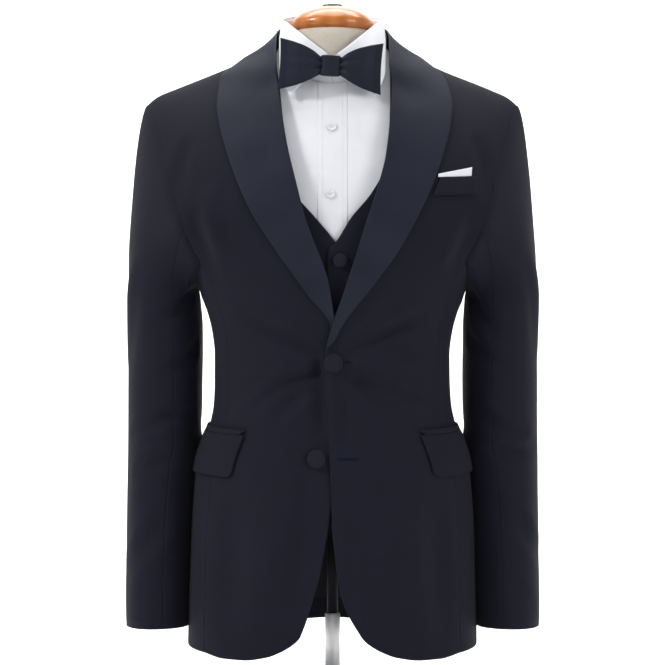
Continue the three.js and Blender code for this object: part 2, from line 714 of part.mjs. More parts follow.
const POCKET = {
  flap: { layer: { girth: -3.5, ridge: 0 }, thick: 2 },
  jet: { layer: { girth: -3.2, ridge: 0 }, thick: 1.2 },
  frontTurn: { top: -52, foot: -49 },
  backTurn: 16,
};
// Height of the flap's upper and lower edge, at its front and its back end
const FLAP_TOP = { front: 338, back: 344 };
const FLAP_FOOT = { front: 287.5, back: 293 };
function pocketPoint(layer, side, upper, lower) {
  return (u, down) => {
    const turn = lerp(lerp(POCKET.frontTurn.top, POCKET.frontTurn.foot, down), POCKET.backTurn, u);
    const z = lerp(lerp(upper.front, upper.back, u), lerp(lower.front, lower.back, u), down);
    return flank(layer, side, turn, z);
  };
}
const JET = { foot: 0.6, top: 6.5 };
const aboveFlap = (rise) => ({ front: FLAP_TOP.front + rise, back: FLAP_TOP.back + rise });
const FLAP_ROWS = [0, 0.35, 0.7, 1];
const POCKET_STEPS = { across: 0.002, along: 0.002 };
for (const { name, side } of SIDES) {
  const flap = pocketPoint(POCKET.flap.layer, side, FLAP_TOP, FLAP_FOOT);
  const jet = pocketPoint(POCKET.jet.layer, side, aboveFlap(JET.top), aboveFlap(JET.foot));
  const columns = span(0, 1, 12);
  addWall(`pocket_flap_${name}`, CLOTH, flap, columns, FLAP_ROWS, POCKET.flap.thick, BODY_CORE, POCKET_STEPS);
  addWall(`pocket_jet_${name}`, CLOTH, jet, columns, [0, 1], POCKET.jet.thick, BODY_CORE, POCKET_STEPS);
}

// A patch on the left chest between four corners given as x and height
function chestPatch(layer, corners) {
  const [lowIn, lowOut, highIn, highOut] = corners;
  return (u, up) => {
    const x = lerp(lerp(lowIn.x, lowOut.x, u), lerp(highIn.x, highOut.x, u), up);
    const z = lerp(lerp(lowIn.z, lowOut.z, u), lerp(highIn.z, highOut.z, u), up);
    return torso(layer, -1, x, levelAt(layer, -1, x, z));
  };
}
const WELT = { layer: { girth: -2.8, ridge: -2.8 }, thick: 2 };
const WELT_CORNERS = [
  { x: 121, z: 626.5 },
  { x: 173, z: 629 },
  { x: 130, z: 648 },
  { x: 176, z: 651 },
];
const weltPoint = chestPatch(WELT.layer, WELT_CORNERS);
const WELT_ROWS = [0, 0.5, 1];
const WELT_COLUMNS = span(0, 1, 7);
addWall('breast_pocket_welt', CLOTH, weltPoint, WELT_COLUMNS, WELT_ROWS, WELT.thick, BODY_CORE, POCKET_STEPS);
const SQUARE_CORNERS = [
  { x: 131.5, z: 649 },
  { x: 168, z: 651.4 },
  { x: 133, z: 655 },
  { x: 169, z: 661.5 },
];
const squarePoint = chestPatch(WELT.layer, SQUARE_CORNERS);
const SQUARE_THICK = 1.6;
addWall('pocket_square', COTTON, squarePoint, span(0, 1, 5), [0, 1], SQUARE_THICK, BODY_CORE, POCKET_STEPS);

// Buttons: domed discs that stand on a sheet

const BUTTON_SIDES = 12;
function buttonGeometry(radius, height) {
  const profile = [
    [0, 0],
    [radius * 0.9, 0],
    [radius, height * 0.35],
    [radius * 0.82, height * 0.82],
    [radius * 0.45, height],
    [0, height],
  ];
  return new THREE.LatheGeometry(profile.map(([x, y]) => new THREE.Vector2(x, y)), BUTTON_SIDES);
}

function addButton(name, { at, normal }, { radius, height }, material) {
  const geometry = withoutSlivers(mergeVertices(stripped(buttonGeometry(radius, height)), 1e-4));
  const mesh = add(tuxedo, name, geometry, material);
  mesh.quaternion.setFromUnitVectors(new THREE.Vector3(0, 1, 0), normal);
  mesh.position.copy(at);
  return mesh;
}

function stripped(geometry) {
  geometry.deleteAttribute('normal');
  geometry.deleteAttribute('uv');
  return geometry;
}

// A button's seat on the front: where it stands and the way it faces
function seatOnFront(layer, x, z, lift) {
  const sheet = (a, b) => torso(layer, -1, a, levelAt(layer, -1, a, b));
  const across = sheet(x + 1, z).sub(sheet(x - 1, z));
  const along = sheet(x, z + 1).sub(sheet(x, z - 1));
  const normal = across.cross(along).normalize();
  if (normal.y > 0) normal.negate();
  return { at: sheet(x, z).addScaledVector(normal, lift), normal };
}
const topSeat = seatOnFront(JACKET, 1.4, 425.4, 0.6);
const lowerSeat = seatOnFront(JACKET, -19.2, 311, -1.5);
const JACKET_BUTTON = { radius: 10, height: 4.6 };
addButton('jacket_button_top', topSeat, JACKET_BUTTON, CLOTH);
addButton('jacket_button_lower', lowerSeat, JACKET_BUTTON, CLOTH);

// Waistcoat

const WAISTCOAT_EDGE = [
  { z: 195, right: -22, left: 22 },
  { z: 222, right: -2, left: 2 },
  { z: 240, right: 8, left: -6 },
  { z: 300, right: 9, left: -7 },
  { z: 545, right: 9, left: -7 },
  { z: 562, right: 7.5, left: -4.5 },
  { z: 571, right: 2.5, left: 4.5 },
  { z: 600, right: -21, left: 23 },
  { z: 628, right: -45, left: 46 },
  { z: 660, right: -62, left: 64 },
  { z: 700, right: -77, left: 78 },
  { z: 760, right: -88, left: 88 },
  { z: 820, right: -93, left: 93 },
];
const waistcoat = {
  layer: WAISTCOAT,
  edge: WAISTCOAT_EDGE,
  frontHem: [
    { along: 0, z: 222 },
    { along: 0.14, z: 205 },
    { along: 0.5, z: 228 },
    { along: 1, z: 252 },
  ],
  sideHem: [
    { along: 0, z: 252 },
    { along: 1, z: 258 },
  ],
  backHem: [
    { along: 0, z: 256 },
    { along: 1, z: 258 },
  ],
  skirtLow: 222,
  skirtTop: 300,
  sink: 2.2,
  sinkFrom: 165,
  armhole: armhole(WAISTCOAT, 153.5, 153.5),
  shoulder: 158,
  scoop: 30,
  scoopFrom: 425,
  oval: { x: 92, y: 76, centre: 6 },
  backFurther: [104, 130],
};
const WAISTCOAT_SIDE_ROWS = [222, 262, 300, 340, 375, 440, 492, 520, ARMHOLE_Z];
const WAISTCOAT_CHEST = [560, 571, 585, YOKE_Z];
const INNER_COLUMNS = [0, 0.15, 0.35, 0.55, 0.78, 1];
const INNER_SIDE_COLUMNS = [0, 0.25, 0.5, 0.75, 1];

// A back joined to its two flanks in one piece
function wholeBack(cut, rows, flankRows) {
  const { thick } = cut.layer;
  const columns = backColumns(cut, cut.backFurther);
  const backRows = [...rows, BACK_TOP];
  const pieces = SIDES.flatMap(({ side }) => [
    wall(backPanel(cut, side, 0), columns, backRows, thick, BODY_CORE, BACK_STEPS),
    wall(sidePanel(cut, side, 0), INNER_SIDE_COLUMNS, flankRows, thick, BODY_CORE),
  ]);
  return sewn(pieces);
}

for (const { name, side } of SIDES) {
  const rows = [...WAISTCOAT_SIDE_ROWS, ...WAISTCOAT_CHEST, ...SHOULDER_ROWS, FRONT_TOP];
  const front = frontPanel(waistcoat, side);
  addWall(`waistcoat_front_${name}`, CLOTH, front, INNER_COLUMNS, rows, WAISTCOAT.thick, BODY_CORE);
}
const waistcoatBackRows = [...WAISTCOAT_SIDE_ROWS, 574, YOKE_Z, ...SHOULDER_ROWS];
add(tuxedo, 'waistcoat_back', wholeBack(waistcoat, waistcoatBackRows, WAISTCOAT_SIDE_ROWS), CLOTH);

const WAISTCOAT_BUTTONS = [548, 478, 408, 338, 268];
const WAISTCOAT_BUTTON_X = 9.6;
const WAISTCOAT_BUTTON = { radius: 8.6, height: 2.6 };
WAISTCOAT_BUTTONS.forEach((z, i) => {
  const seat = seatOnFront(WAISTCOAT, WAISTCOAT_BUTTON_X, z, 0.9);
  addButton(`waistcoat_button_${i + 1}`, seat, WAISTCOAT_BUTTON, CLOTH);
});

// Shirt

const PLACKET_HALF = 18.3;
const shirt = {
  layer: SHIRT,
  edge: [
    { z: 240, right: -PLACKET_HALF - SEAM_GAP, left: PLACKET_HALF + SEAM_GAP },
    { z: 820, right: -PLACKET_HALF - SEAM_GAP, left: PLACKET_HALF + SEAM_GAP },
  ],
  frontHem: [
    { along: 0, z: 245 },
    { along: 1, z: 262 },
  ],
  sideHem: [
    { along: 0, z: 262 },
    { along: 1, z: 262 },
  ],
  backHem: [
    { along: 0, z: 262 },
    { along: 1, z: 262 },
  ],
  skirtLow: 245,
  skirtTop: 300,
  sink: 0,
  sinkFrom: 0,
  fanFront: true,
  armhole: armhole(SHIRT, 162, 168),
  shoulder: 174,
  scoop: 26,
  scoopFrom: 425,
  oval: { x: 63.4, y: 61.4, centre: 6 },
  backFurther: [71, 82, 100, 130],
};
const SHIRT_SIDE_ROWS = [245, 300, 340, 375, 440, 492, 520, ARMHOLE_Z];
const SHIRT_ROWS = [...SHIRT_SIDE_ROWS, 574, YOKE_Z, ...SHOULDER_ROWS];
const SHIRT_FRONT_ROWS = [...SHIRT_ROWS, FRONT_TOP];
const SHIRT_COLUMNS = [0, 0.12, 0.28, 0.45, 0.7, 1];
for (const { name, side } of SIDES) {
  const front = frontPanel(shirt, side);
  addWall(`shirt_front_${name}`, COTTON, front, SHIRT_COLUMNS, SHIRT_FRONT_ROWS, SHIRT.thick, BODY_CORE);
}
add(tuxedo, 'shirt_back', wholeBack(shirt, SHIRT_ROWS, SHIRT_SIDE_ROWS), COTTON);

// The placket is a doubled strip that stands a little proud of the fronts
const PLACKET = { girth: SHIRT.girth - 0.6, ridge: SHIRT.ridge - 0.6, thick: 1.6 };
const placketCut = { ...shirt, layer: PLACKET };
const placketPoint = (u, level) => {
  const x = lerp(-PLACKET_HALF, PLACKET_HALF, u);
  return torso(PLACKET, -1, x, fanned(placketCut, -1, x, level));
};
const PLACKET_COLUMNS = [0, 0.33, 0.67, 1];
addWall('shirt_placket', COTTON, placketPoint, PLACKET_COLUMNS, SHIRT_FRONT_ROWS, PLACKET.thick, BODY_CORE);
const SHIRT_BUTTONS = [{ x: -1.2, z: 711 }, { x: -2.5, z: 628 }];
SHIRT_BUTTONS.forEach(({ x, z }, i) => {
  addButton(`shirt_button_${i + 1}`, seatOnFront(PLACKET, x, z, 0.5), { radius: 5.8, height: 2 }, SHIRT_BUTTON);
});

// Shirt collar: a stand round the neck and a fall folded down over it

const SHIRT_STAND = [
  { turn: 0, foot: 822, top: 868 },
  { turn: 30, foot: 826, top: 865 },
  { turn: 55, foot: 832, top: 859 },
  { turn: 90, foot: 826, top: 851 },
  { turn: 120, foot: 810, top: 841 },
  { turn: 150, foot: 786, top: 819 },
  { turn: 176, foot: 776, top: 800 },
];
const SHIRT_OVAL = { x: 61.5, y: 59, centre: 5.1 };
function shirtStandPoint(turn, up) {
  const around = Math.abs(turn);
  const foot = curve(SHIRT_STAND, 'turn', 'foot', around);
  return onOval(SHIRT_OVAL, turn, lerp(foot, curve(SHIRT_STAND, 'turn', 'top', around), up));
}
const SHIRT_STAND_ENDS = SHIRT_STAND.at(-1).turn;
const SHIRT_STAND_COLUMNS = span(-SHIRT_STAND_ENDS, SHIRT_STAND_ENDS, 24);
addWall('shirt_collar_stand', COTTON, shirtStandPoint, SHIRT_STAND_COLUMNS, [0, 1], 1, NECK_CORE, NECK_STEPS);

// Stations of the fall from the front point to the centre back: fold, middle and lower edge
const FALL = [
  { fold: [5.5, -57.5, 803], middle: [27, -67, 778], edge: [52, -74, 750] },
  { fold: [31.6, -49.5, 824], middle: [47, -60, 798], edge: [60, -65, 765] },
  { fold: [54.8, -25.6, 845], middle: [61.5, -33, 824], edge: [66, -40, 789] },
  { fold: [63.4, 6, 854], middle: [65.1, 4, 843], edge: [66.4, 2, 829] },
  { fold: [51.4, 41.2, 862.5], middle: [52.4, 42.2, 848], edge: [53.4, 43.4, 832] },
  { fold: [24.8, 61.6, 869], middle: [25, 62.8, 850], edge: [25.4, 63.8, 831] },
  { fold: [0.6, 66.2, 871], middle: [0.6, 67.4, 851], edge: [0.6, 69, 831] },
];
const FALL_THICK = 1.2;
for (const { name, side } of SIDES) {
  const placed = ([x, y, z]) => new THREE.Vector3(side * x, y, z);
  const sheet = loft(FALL.map(({ fold, middle, edge }) => [fold, middle, edge].map(placed)));
  const rows = span(0, FALL.length - 1, 12);
  addWall(`shirt_collar_fall_${name}`, COTTON, sheet, span(0, 2, 4), rows, FALL_THICK, NECK_CORE, LOFT_STEPS);
}

// Bow tie: each wing is a front and a back layer pinched into the knot

const KNOT = { x: -2.4, y: -76.6, z: 786, width: 18, height: 25, depth: 9 };
// From the knot out: distance, half height of the wing, and how far it stands forward
const WING = [
  { out: 11.3, half: 10, forward: 0 },
  { out: 24, half: 18, forward: 5.5 },
  { out: 42, half: 26, forward: 5 },
  { out: 63, half: 31.5, forward: 0 },
];
const WING_LAYERS = [
  { layer: 'front', reach: -5, lift: 0, thick: 1.5 },
  { layer: 'back', reach: 0, lift: -3.4, thick: 1.5 },
];
const BOW_TILT = -3.2;
const WING_COLUMNS = [11.3, 18, 30, 45, 63];
const WING_ROWS = [-1, -0.5, 0, 0.5, 1];
const WING_CORE = new THREE.Vector3(0, 100, 0);
const WING_STEPS = { across: 0.05, along: 0.01 };
const WING_PUFF = 2.2;
const bow = new THREE.Group();
function wingPoint(side, { reach, lift }) {
  return (out, up) => {
    const share = (out - WING[0].out) / (WING.at(-1).out - WING[0].out);
    const bend = curve(WING, 'out', 'forward', out);
    const puff = WING_PUFF * (1 - up * up);
    const half = curve(WING, 'out', 'half', out) + reach * 0.4 * share;
    const x = side * (out + reach * share - 1.5 * share * (1 - up * up));
    return new THREE.Vector3(x, -(bend + puff + lift), up * half);
  };
}
for (const { name, side } of SIDES) {
  for (const layer of WING_LAYERS) {
    const point = wingPoint(side, layer);
    const wing = wall(point, WING_COLUMNS, WING_ROWS, layer.thick, WING_CORE, WING_STEPS);
    add(bow, `bow_${layer.layer}_${name}`, wing, SATIN);
  }
}
const knotProfile = new THREE.Shape();
const knotHalf = { x: KNOT.width / 2, y: KNOT.depth / 2, corner: 3.5 };
knotProfile.moveTo(-knotHalf.x + knotHalf.corner, -knotHalf.y);
knotProfile.lineTo(knotHalf.x - knotHalf.corner, -knotHalf.y);
knotProfile.quadraticCurveTo(knotHalf.x, -knotHalf.y, knotHalf.x, -knotHalf.y + knotHalf.corner);
knotProfile.lineTo(knotHalf.x, knotHalf.y);
knotProfile.lineTo(-knotHalf.x, knotHalf.y);
knotProfile.lineTo(-knotHalf.x, -knotHalf.y + knotHalf.corner);
knotProfile.quadraticCurveTo(-knotHalf.x, -knotHalf.y, -knotHalf.x + knotHalf.corner, -knotHalf.y);
const knotBevel = 1.5;
const knotLength = KNOT.height - 2 * knotBevel;
const knot = new THREE.ExtrudeGeometry(knotProfile, {
  depth: knotLength,
  bevelThickness: knotBevel,
  bevelSize: knotBevel,
  bevelSegments: 2,
  curveSegments: 3,
});
knot.translate(0, -2.6, -knotLength / 2);
add(bow, 'bow_knot', withoutSlivers(mergeVertices(stripped(knot), 1e-4)), SATIN);
bow.position.set(KNOT.x, KNOT.y, KNOT.z);
bow.rotation.y = degToRad(-BOW_TILT);
tuxedo.add(bow);

// Dress form: torso with flat arm plates, neck, wood cap, knob, pole and base

const FORM_ROWS = [240, 300, 340, 375, 440, 492, 520, ARMHOLE_Z, 574, YOKE_Z, ...SHOULDER_ROWS, 690];
const FORM_ARM = [
  { z: 520, x: 146 },
  { z: 560, x: 150 },
  { z: YOKE_Z, x: 156 },
];
const FORM_COLUMNS = span(-1, 1, 10);
function formRing(level) {
  const half = curve(BODY, 'z', 'half', Math.min(level, YOKE_Z)) - FORM.girth;
  const plate = curve(FORM_ARM, 'z', 'x', Math.min(level, YOKE_Z));
  const limit = level <= FORM_ARM[0].z ? half : Math.min(plate, half);
  const across = (c) => limit * Math.sin((c * Math.PI) / 2);
  const front = FORM_COLUMNS.map((c) => torso(FORM, -1, across(c), level));
  const back = FORM_COLUMNS.map((c) => torso(FORM, 1, across(-c), level));
  return [...front, ...back];
}
function formTorso() {
  const rings = FORM_ROWS.map(formRing);
  const around = rings[0].length;
  const points = rings.flat();
  const triangles = [];
  for (let r = 0; r < rings.length - 1; r += 1) {
    for (let c = 0; c < around; c += 1) {
      const a = r * around + c;
      const b = r * around + ((c + 1) % around);
      triangles.push([a, b, b + around], [a, b + around, a + around]);
    }
  }
  const top = (rings.length - 1) * around;
  for (let c = 0; c < around / 2 - 1; c += 1) {
    const opposite = around - 1 - c;
    triangles.push([opposite, opposite - 1, c + 1], [opposite, c + 1, c]);
    triangles.push([top + c, top + c + 1, top + opposite - 1]);
    triangles.push([top + c, top + opposite - 1, top + opposite]);
  }
  return solid(points, triangles);
}
const FORM_NECK = { x: 49, y: 50, centre: 6, low: 740, high: 838 };
const neckTube = new THREE.CylinderGeometry(1, 1, FORM_NECK.high - FORM_NECK.low, 28);
neckTube.rotateX(Math.PI / 2);
neckTube.scale(FORM_NECK.x, FORM_NECK.y, 1);
neckTube.translate(0, FORM_NECK.centre, (FORM_NECK.high + FORM_NECK.low) / 2);
add(dressForm, 'form_torso', joined([formTorso(), neckTube]), CALICO);

function turned(profile, sides) {
  const geometry = new THREE.LatheGeometry(profile.map(([r, z]) => new THREE.Vector2(r, z)), sides);
  geometry.rotateX(Math.PI / 2);
  return withoutSlivers(mergeVertices(stripped(geometry), 1e-4));
}
const FORM_GAP = 0.3;
const CAP = [
  [0, 838.3],
  [46, 838.3],
  [50.5, 842],
  [51.5, 847],
  [49, 853],
  [40, 861],
  [28, 866],
  [20, 868.2],
  [0, 868.2],
];
const KNOB = [[0, 868.5], [13.5, 868.5], [13.5, 871], [11, 873.3], [0, 873.3]];
const BASE = { radius: 150, thick: 12, edge: 2 };
const POLE_RADIUS = 9.5;
const BASE_PROFILE = [
  [0, 0],
  [BASE.radius - BASE.edge, 0],
  [BASE.radius, BASE.edge],
  [BASE.radius, BASE.thick - BASE.edge],
  [BASE.radius - BASE.edge, BASE.thick],
  [0, BASE.thick],
];
const POLE = [
  [0, BASE.thick + FORM_GAP],
  [POLE_RADIUS, BASE.thick + FORM_GAP],
  [POLE_RADIUS, FORM_ROWS[0] - FORM_GAP],
  [0, FORM_ROWS[0] - FORM_GAP],
];
add(dressForm, 'form_neck_cap', turned(CAP, 24), WOOD).position.y = FORM_NECK.centre;
add(dressForm, 'form_knob', turned(KNOB, 24), METAL).position.y = FORM_NECK.centre;
add(dressForm, 'form_pole', turned(POLE, 20), METAL);
add(dressForm, 'form_base', turned(BASE_PROFILE, 36), METAL);

export default new THREE.Group().add(tuxedo, dressForm);
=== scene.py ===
"""A tuxedo on a limbless dress form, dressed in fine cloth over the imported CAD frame.

Sizes are in millimetres until a mesh is made, and Blender objects are in metres.
+Z is up, the garment faces -Y and the wearer's left is +X.
"""

import math

import bpy
import numpy as np
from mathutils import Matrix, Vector


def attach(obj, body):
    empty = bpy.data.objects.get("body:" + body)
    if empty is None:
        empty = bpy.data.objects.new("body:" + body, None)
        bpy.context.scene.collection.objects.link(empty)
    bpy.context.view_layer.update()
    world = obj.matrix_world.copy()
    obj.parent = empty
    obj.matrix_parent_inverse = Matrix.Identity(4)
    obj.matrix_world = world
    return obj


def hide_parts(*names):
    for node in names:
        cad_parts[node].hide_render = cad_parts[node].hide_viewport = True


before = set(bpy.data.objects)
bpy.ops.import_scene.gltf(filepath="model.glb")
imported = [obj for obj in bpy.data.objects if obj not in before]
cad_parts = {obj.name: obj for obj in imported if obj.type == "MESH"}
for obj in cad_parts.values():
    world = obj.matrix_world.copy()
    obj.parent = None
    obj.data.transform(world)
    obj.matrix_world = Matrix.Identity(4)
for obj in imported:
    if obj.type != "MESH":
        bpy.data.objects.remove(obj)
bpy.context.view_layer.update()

MM = 0.001
SIDES = {"left": 1, "right": -1}

# Surfaces of the garment

# Torso sections: height, half width, depth to the front and depth to the back
BODY = [
    (68, 180.5, 128, 120), (131, 179.5, 128, 120), (187, 178, 128, 120), (229, 176, 128, 120),
    (264, 173.5, 127, 118), (302, 170, 125.5, 114), (332, 160, 124, 110), (350, 152.5, 124, 108),
    (375, 147.5, 124, 105), (406, 146, 124, 104), (434, 146, 124, 104.5), (462, 149, 125, 106),
    (483, 154, 127, 109), (502, 161, 129.5, 112), (520, 168, 131, 115), (545, 184, 131, 119),
    (570, 212, 131, 121), (600, 236, 131, 122), (660, 236, 131, 122),
]
HALF, FRONT, BACK = 1, 2, 3
ROUNDNESS = 2.4

# Above the yoke the front and the back arch over and meet along the shoulder ridge
YOKE_Z = 600
RIDGE_Y = 10
RIDGE_SEAM = 0.4
ARCH = {-1: 1.45, 1: 1.9}
TOP = {-1: YOKE_Z + 89.4, 1: YOKE_Z + 89.7}
RIDGE = [
    (-40, 836, 858), (0, 841, 880), (40, 836, 858), (60, 829, 836), (72, 820, 821), (85, 813, 813),
    (99, 807.5, 807.5), (144, 788, 788), (199, 766, 766), (218, 757.5, 757.5), (231, 747, 747),
    (240, 735, 735),
]

# Each layer of cloth: how far it lies inside the jacket's face, round the body and at the shoulders
JACKET = {"girth": 0, "ridge": 0}
LINING = {"girth": 2.6, "ridge": 2.6}
WAISTCOAT = {"girth": 9, "ridge": 3.2}
SHIRT = {"girth": 15.6, "ridge": 7}
PLACKET = {"girth": 15, "ridge": 6.4}
FORM = {"girth": 18.9, "ridge": 8.7, "flat_within": 99}
SEAM_GAP = 0.3
SEAM_TURN = 0.08
SIDE_SEAM = 0.86
# Thickness of the cloth, from the jacket's wool to fine cotton and lining
WALL, VEST_WALL, BOW_WALL, FOLD_WALL, FINE_WALL = 2, 1.6, 1.5, 1.2, 1


def curve(rows, column, at):
    """Smooth curve through a table's rows, keyed by their first column and straight past both ends."""
    keys = np.array([row[0] for row in rows], float)
    values = np.array([row[column] for row in rows], float)
    at = np.asarray(at, float)
    slopes = np.diff(values) / np.diff(keys)
    before, after = slopes[:-1], slopes[1:]
    total = np.where(before + after == 0, 1, before + after)
    middle = np.where(before * after <= 0, 0, 2 * before * after / total)
    tangents = np.concatenate([[slopes[0]], middle, [slopes[-1]]])
    i = np.clip(np.searchsorted(keys, at, side="right") - 1, 0, len(keys) - 2)
    span = keys[i + 1] - keys[i]
    t = (at - keys[i]) / span
    held = np.clip(t, 0, 1)
    rise = held * held * (3 - 2 * held)
    bend = span * held * (1 - held) * ((1 - held) * tangents[i] - held * tangents[i + 1])
    return values[i] + (values[i + 1] - values[i]) * rise + bend + slopes[i] * span * (t - held)


def lerp(a, b, t):
    return a + (b - a) * t


def smoothstep(x, low, high):
    t = np.clip((x - low) / (high - low), 0, 1)
    return t * t * (3 - 2 * t)


def signed_power(value, power):
    return np.sign(value) * np.abs(value) ** power


def points(x, y, z):
    return np.stack(np.broadcast_arrays(x, y, z), axis=-1).astype(float)


def sheet_y(layer, face, x, z):
    """Depth of the torso's sheet at x, on the front (face -1) or the back (face 1)."""
    half = curve(BODY, HALF, z) - layer["girth"]
    depth = curve(BODY, FRONT if face < 0 else BACK, z) - layer["girth"]
    across = np.minimum(np.abs(x) / half, 1)
    return face * depth * (1 - across**ROUNDNESS) ** (1 / ROUNDNESS)


def ridge_z(layer, face, x):
    across = np.maximum(np.abs(x), layer.get("flat_within", 0))
    return curve(RIDGE, 1 if face < 0 else 2, across) - layer["ridge"]


def torso(layer, face, x, level):
    """A level is a height up to the yoke, and YOKE_Z plus degrees of turn over the shoulder above it."""
    level = np.asarray(level, float)
    low = np.minimum(level, YOKE_Z)
    turn = np.radians(np.clip(level - YOKE_Z, 0, 90))
    power = 2 / ARCH[face]
    rise, reach = np.sin(turn) ** power, np.cos(turn) ** power
    seam = RIDGE_Y + face * RIDGE_SEAM
    y = sheet_y(layer, face, x, low)
    y = np.where(level > YOKE_Z, seam + (y - seam) * reach, y)
    z = np.where(level > YOKE_Z, YOKE_Z + (ridge_z(layer, face, x) - YOKE_Z) * rise, level)
    return points(x, y, z)


def level_at(layer, face, x, z):
    """The level at which the sheet passes through height z."""
    rise = np.clip((z - YOKE_Z) / (ridge_z(layer, face, x) - YOKE_Z), 0, 1)
    over = YOKE_Z + np.degrees(np.arcsin(rise ** (ARCH[face] / 2)))
    return np.where(np.asarray(z) <= YOKE_Z, z, over)


def flank(layer, side, angle, z):
    """Point of a section at an angle from the side: negative angles are to the front."""
    half = curve(BODY, HALF, z) - layer["girth"]
    depth = np.where(angle < 0, curve(BODY, FRONT, z), curve(BODY, BACK, z)) - layer["girth"]
    turn = np.radians(angle)
    power = 2 / ROUNDNESS
    x = side * half * signed_power(np.cos(turn), power)
    return points(x, depth * signed_power(np.sin(turn), power), z)


def seam_angle(ratio):
    return math.degrees(math.acos(ratio ** (ROUNDNESS / 2)))


# Panels, cut the same way for the jacket, the waistcoat and the shirt
ARMHOLE_Z = 548
SHOULDER_SPREAD = 130
OVERLAP_EDGE, OVERLAP_WIDTH, OVERLAP_RISE = -60, 45, 65
CHEST_Z = 520
NECK_LIMIT = 0.999
REFINEMENTS = 12
LEFT, RIGHT = 2, 1


def armhole(layer, middle, top):
    side = SIDE_SEAM * (float(curve(BODY, HALF, ARMHOLE_Z)) - layer["girth"])
    return [(ARMHOLE_Z, side), (577, middle), (YOKE_Z, top)]


def hemmed(cut, hem_z, level):
    """Rows between the hem and the skirt's top blend from the hem's curve to level."""
    low, top = cut["skirt"]
    return np.where(level >= top, level, hem_z + (top - hem_z) * (level - low) / (top - low))


def outer_x(cut, face, level):
    """Half width of a panel at its side seam, and above that at the armhole."""
    seam = SIDE_SEAM * (curve(BODY, HALF, level) - cut["layer"]["girth"])
    hole = curve(cut["armhole"], 1, np.minimum(level, YOKE_Z))
    rise = np.sin(np.radians(np.clip(level - YOKE_Z, 0, 90))) ** (2 / ARCH[face])
    over = lerp(cut["armhole"][2][1], cut["shoulder"], rise)
    return np.where(level <= ARMHOLE_Z, seam, np.where(level <= YOKE_Z, hole, over))


def edge_x(cut, edge, column, level):
    """An edge at a level: past the yoke its height depends on where it lies, so it is refined."""
    level = np.asarray(level, float)
    x = curve(edge, column, np.minimum(level, YOKE_Z))
    for _ in range(REFINEMENTS):
        refined = curve(edge, column, torso(cut["layer"], -1, x, level)[..., 2])
        x = np.where(level > YOKE_Z, refined, x)
    return x


def sunk_under_left(cut, at, side, level):
    """The wearer's right front passes under the left one where they overlap."""
    if side > 0:
        return at
    across = smoothstep(at[..., 0], OVERLAP_EDGE, OVERLAP_EDGE + OVERLAP_WIDTH)
    up = smoothstep(level, cut["sink_from"], cut["sink_from"] + OVERLAP_RISE)
    at[..., 1] += cut["sink"] * across * up
    return at


def fanned(cut, face, x, level):
    """Past the yoke the rows fan out so that the last one follows the neckline and the shoulder."""
    oval_x, oval_y, centre = cut["oval"]
    top = TOP[face] - YOKE_Z
    across = np.minimum(np.abs(x) / oval_x, NECK_LIMIT)
    y = centre + face * oval_y * np.sqrt(1 - across * across)
    reach = np.clip((y - RIDGE_Y) / (sheet_y(cut["layer"], face, x, YOKE_Z) - RIDGE_Y), 0, 1)
    turn = np.minimum(np.degrees(np.arccos(reach ** (ARCH[face] / 2))), top)
    turn = np.where(np.abs(x) / oval_x >= NECK_LIMIT, top, turn)
    held = np.minimum(level, TOP[face]) - YOKE_Z
    return np.where(level <= YOKE_Z, level, YOKE_Z + held / top * turn)


def front_panel(cut, side, u, level):
    column = LEFT if side > 0 else RIGHT
    inner = edge_x(cut, cut["edge"], column, level)
    seam_z = hemmed(cut, cut["front_hem"][-1][1], level)
    x = lerp(inner, side * outer_x(cut, -1, seam_z), u)
    z = hemmed(cut, curve(cut["front_hem"], 1, u), level)
    placed = fanned(cut, -1, x, z) if cut.get("fan_front") else z
    return sunk_under_left(cut, torso(cut["layer"], -1, x, placed), side, level)


def side_panel(cut, side, u, level):
    """Between the side seams, scooped out under the arm."""
    edge = seam_angle(SIDE_SEAM)
    hung = hemmed(cut, curve(cut["side_hem"], 1, u), level)
    scoop = cut["scoop"] * np.sin(np.pi * np.clip(u, 0, 1))
    z = hung - scoop * np.maximum(level - cut["scoop_from"], 0) / (ARMHOLE_Z - cut["scoop_from"])
    return flank(cut["layer"], side, lerp(SEAM_TURN - edge, edge - cut["back_turn"], u), z)


def back_panel(cut, side, distance, level):
    """From the centre seam out: a column lies at a distance on the yoke, and draws in to the waist."""
    outer = outer_x(cut, 1, hemmed(cut, cut["back_hem"][-1][1], np.minimum(level, TOP[1])))
    share = distance / cut["shoulder"]
    past = (distance - SHOULDER_SPREAD) / (cut["shoulder"] - SHOULDER_SPREAD)
    still = np.where(past > 0, lerp(SHOULDER_SPREAD, outer, past), distance)
    centre = cut["centre"]
    x = centre + lerp(share * (outer - centre), still, smoothstep(level, CHEST_Z, YOKE_Z))
    z = hemmed(cut, curve(cut["back_hem"], 1, share), level)
    return torso(cut["layer"], 1, side * x, fanned(cut, 1, x, z))


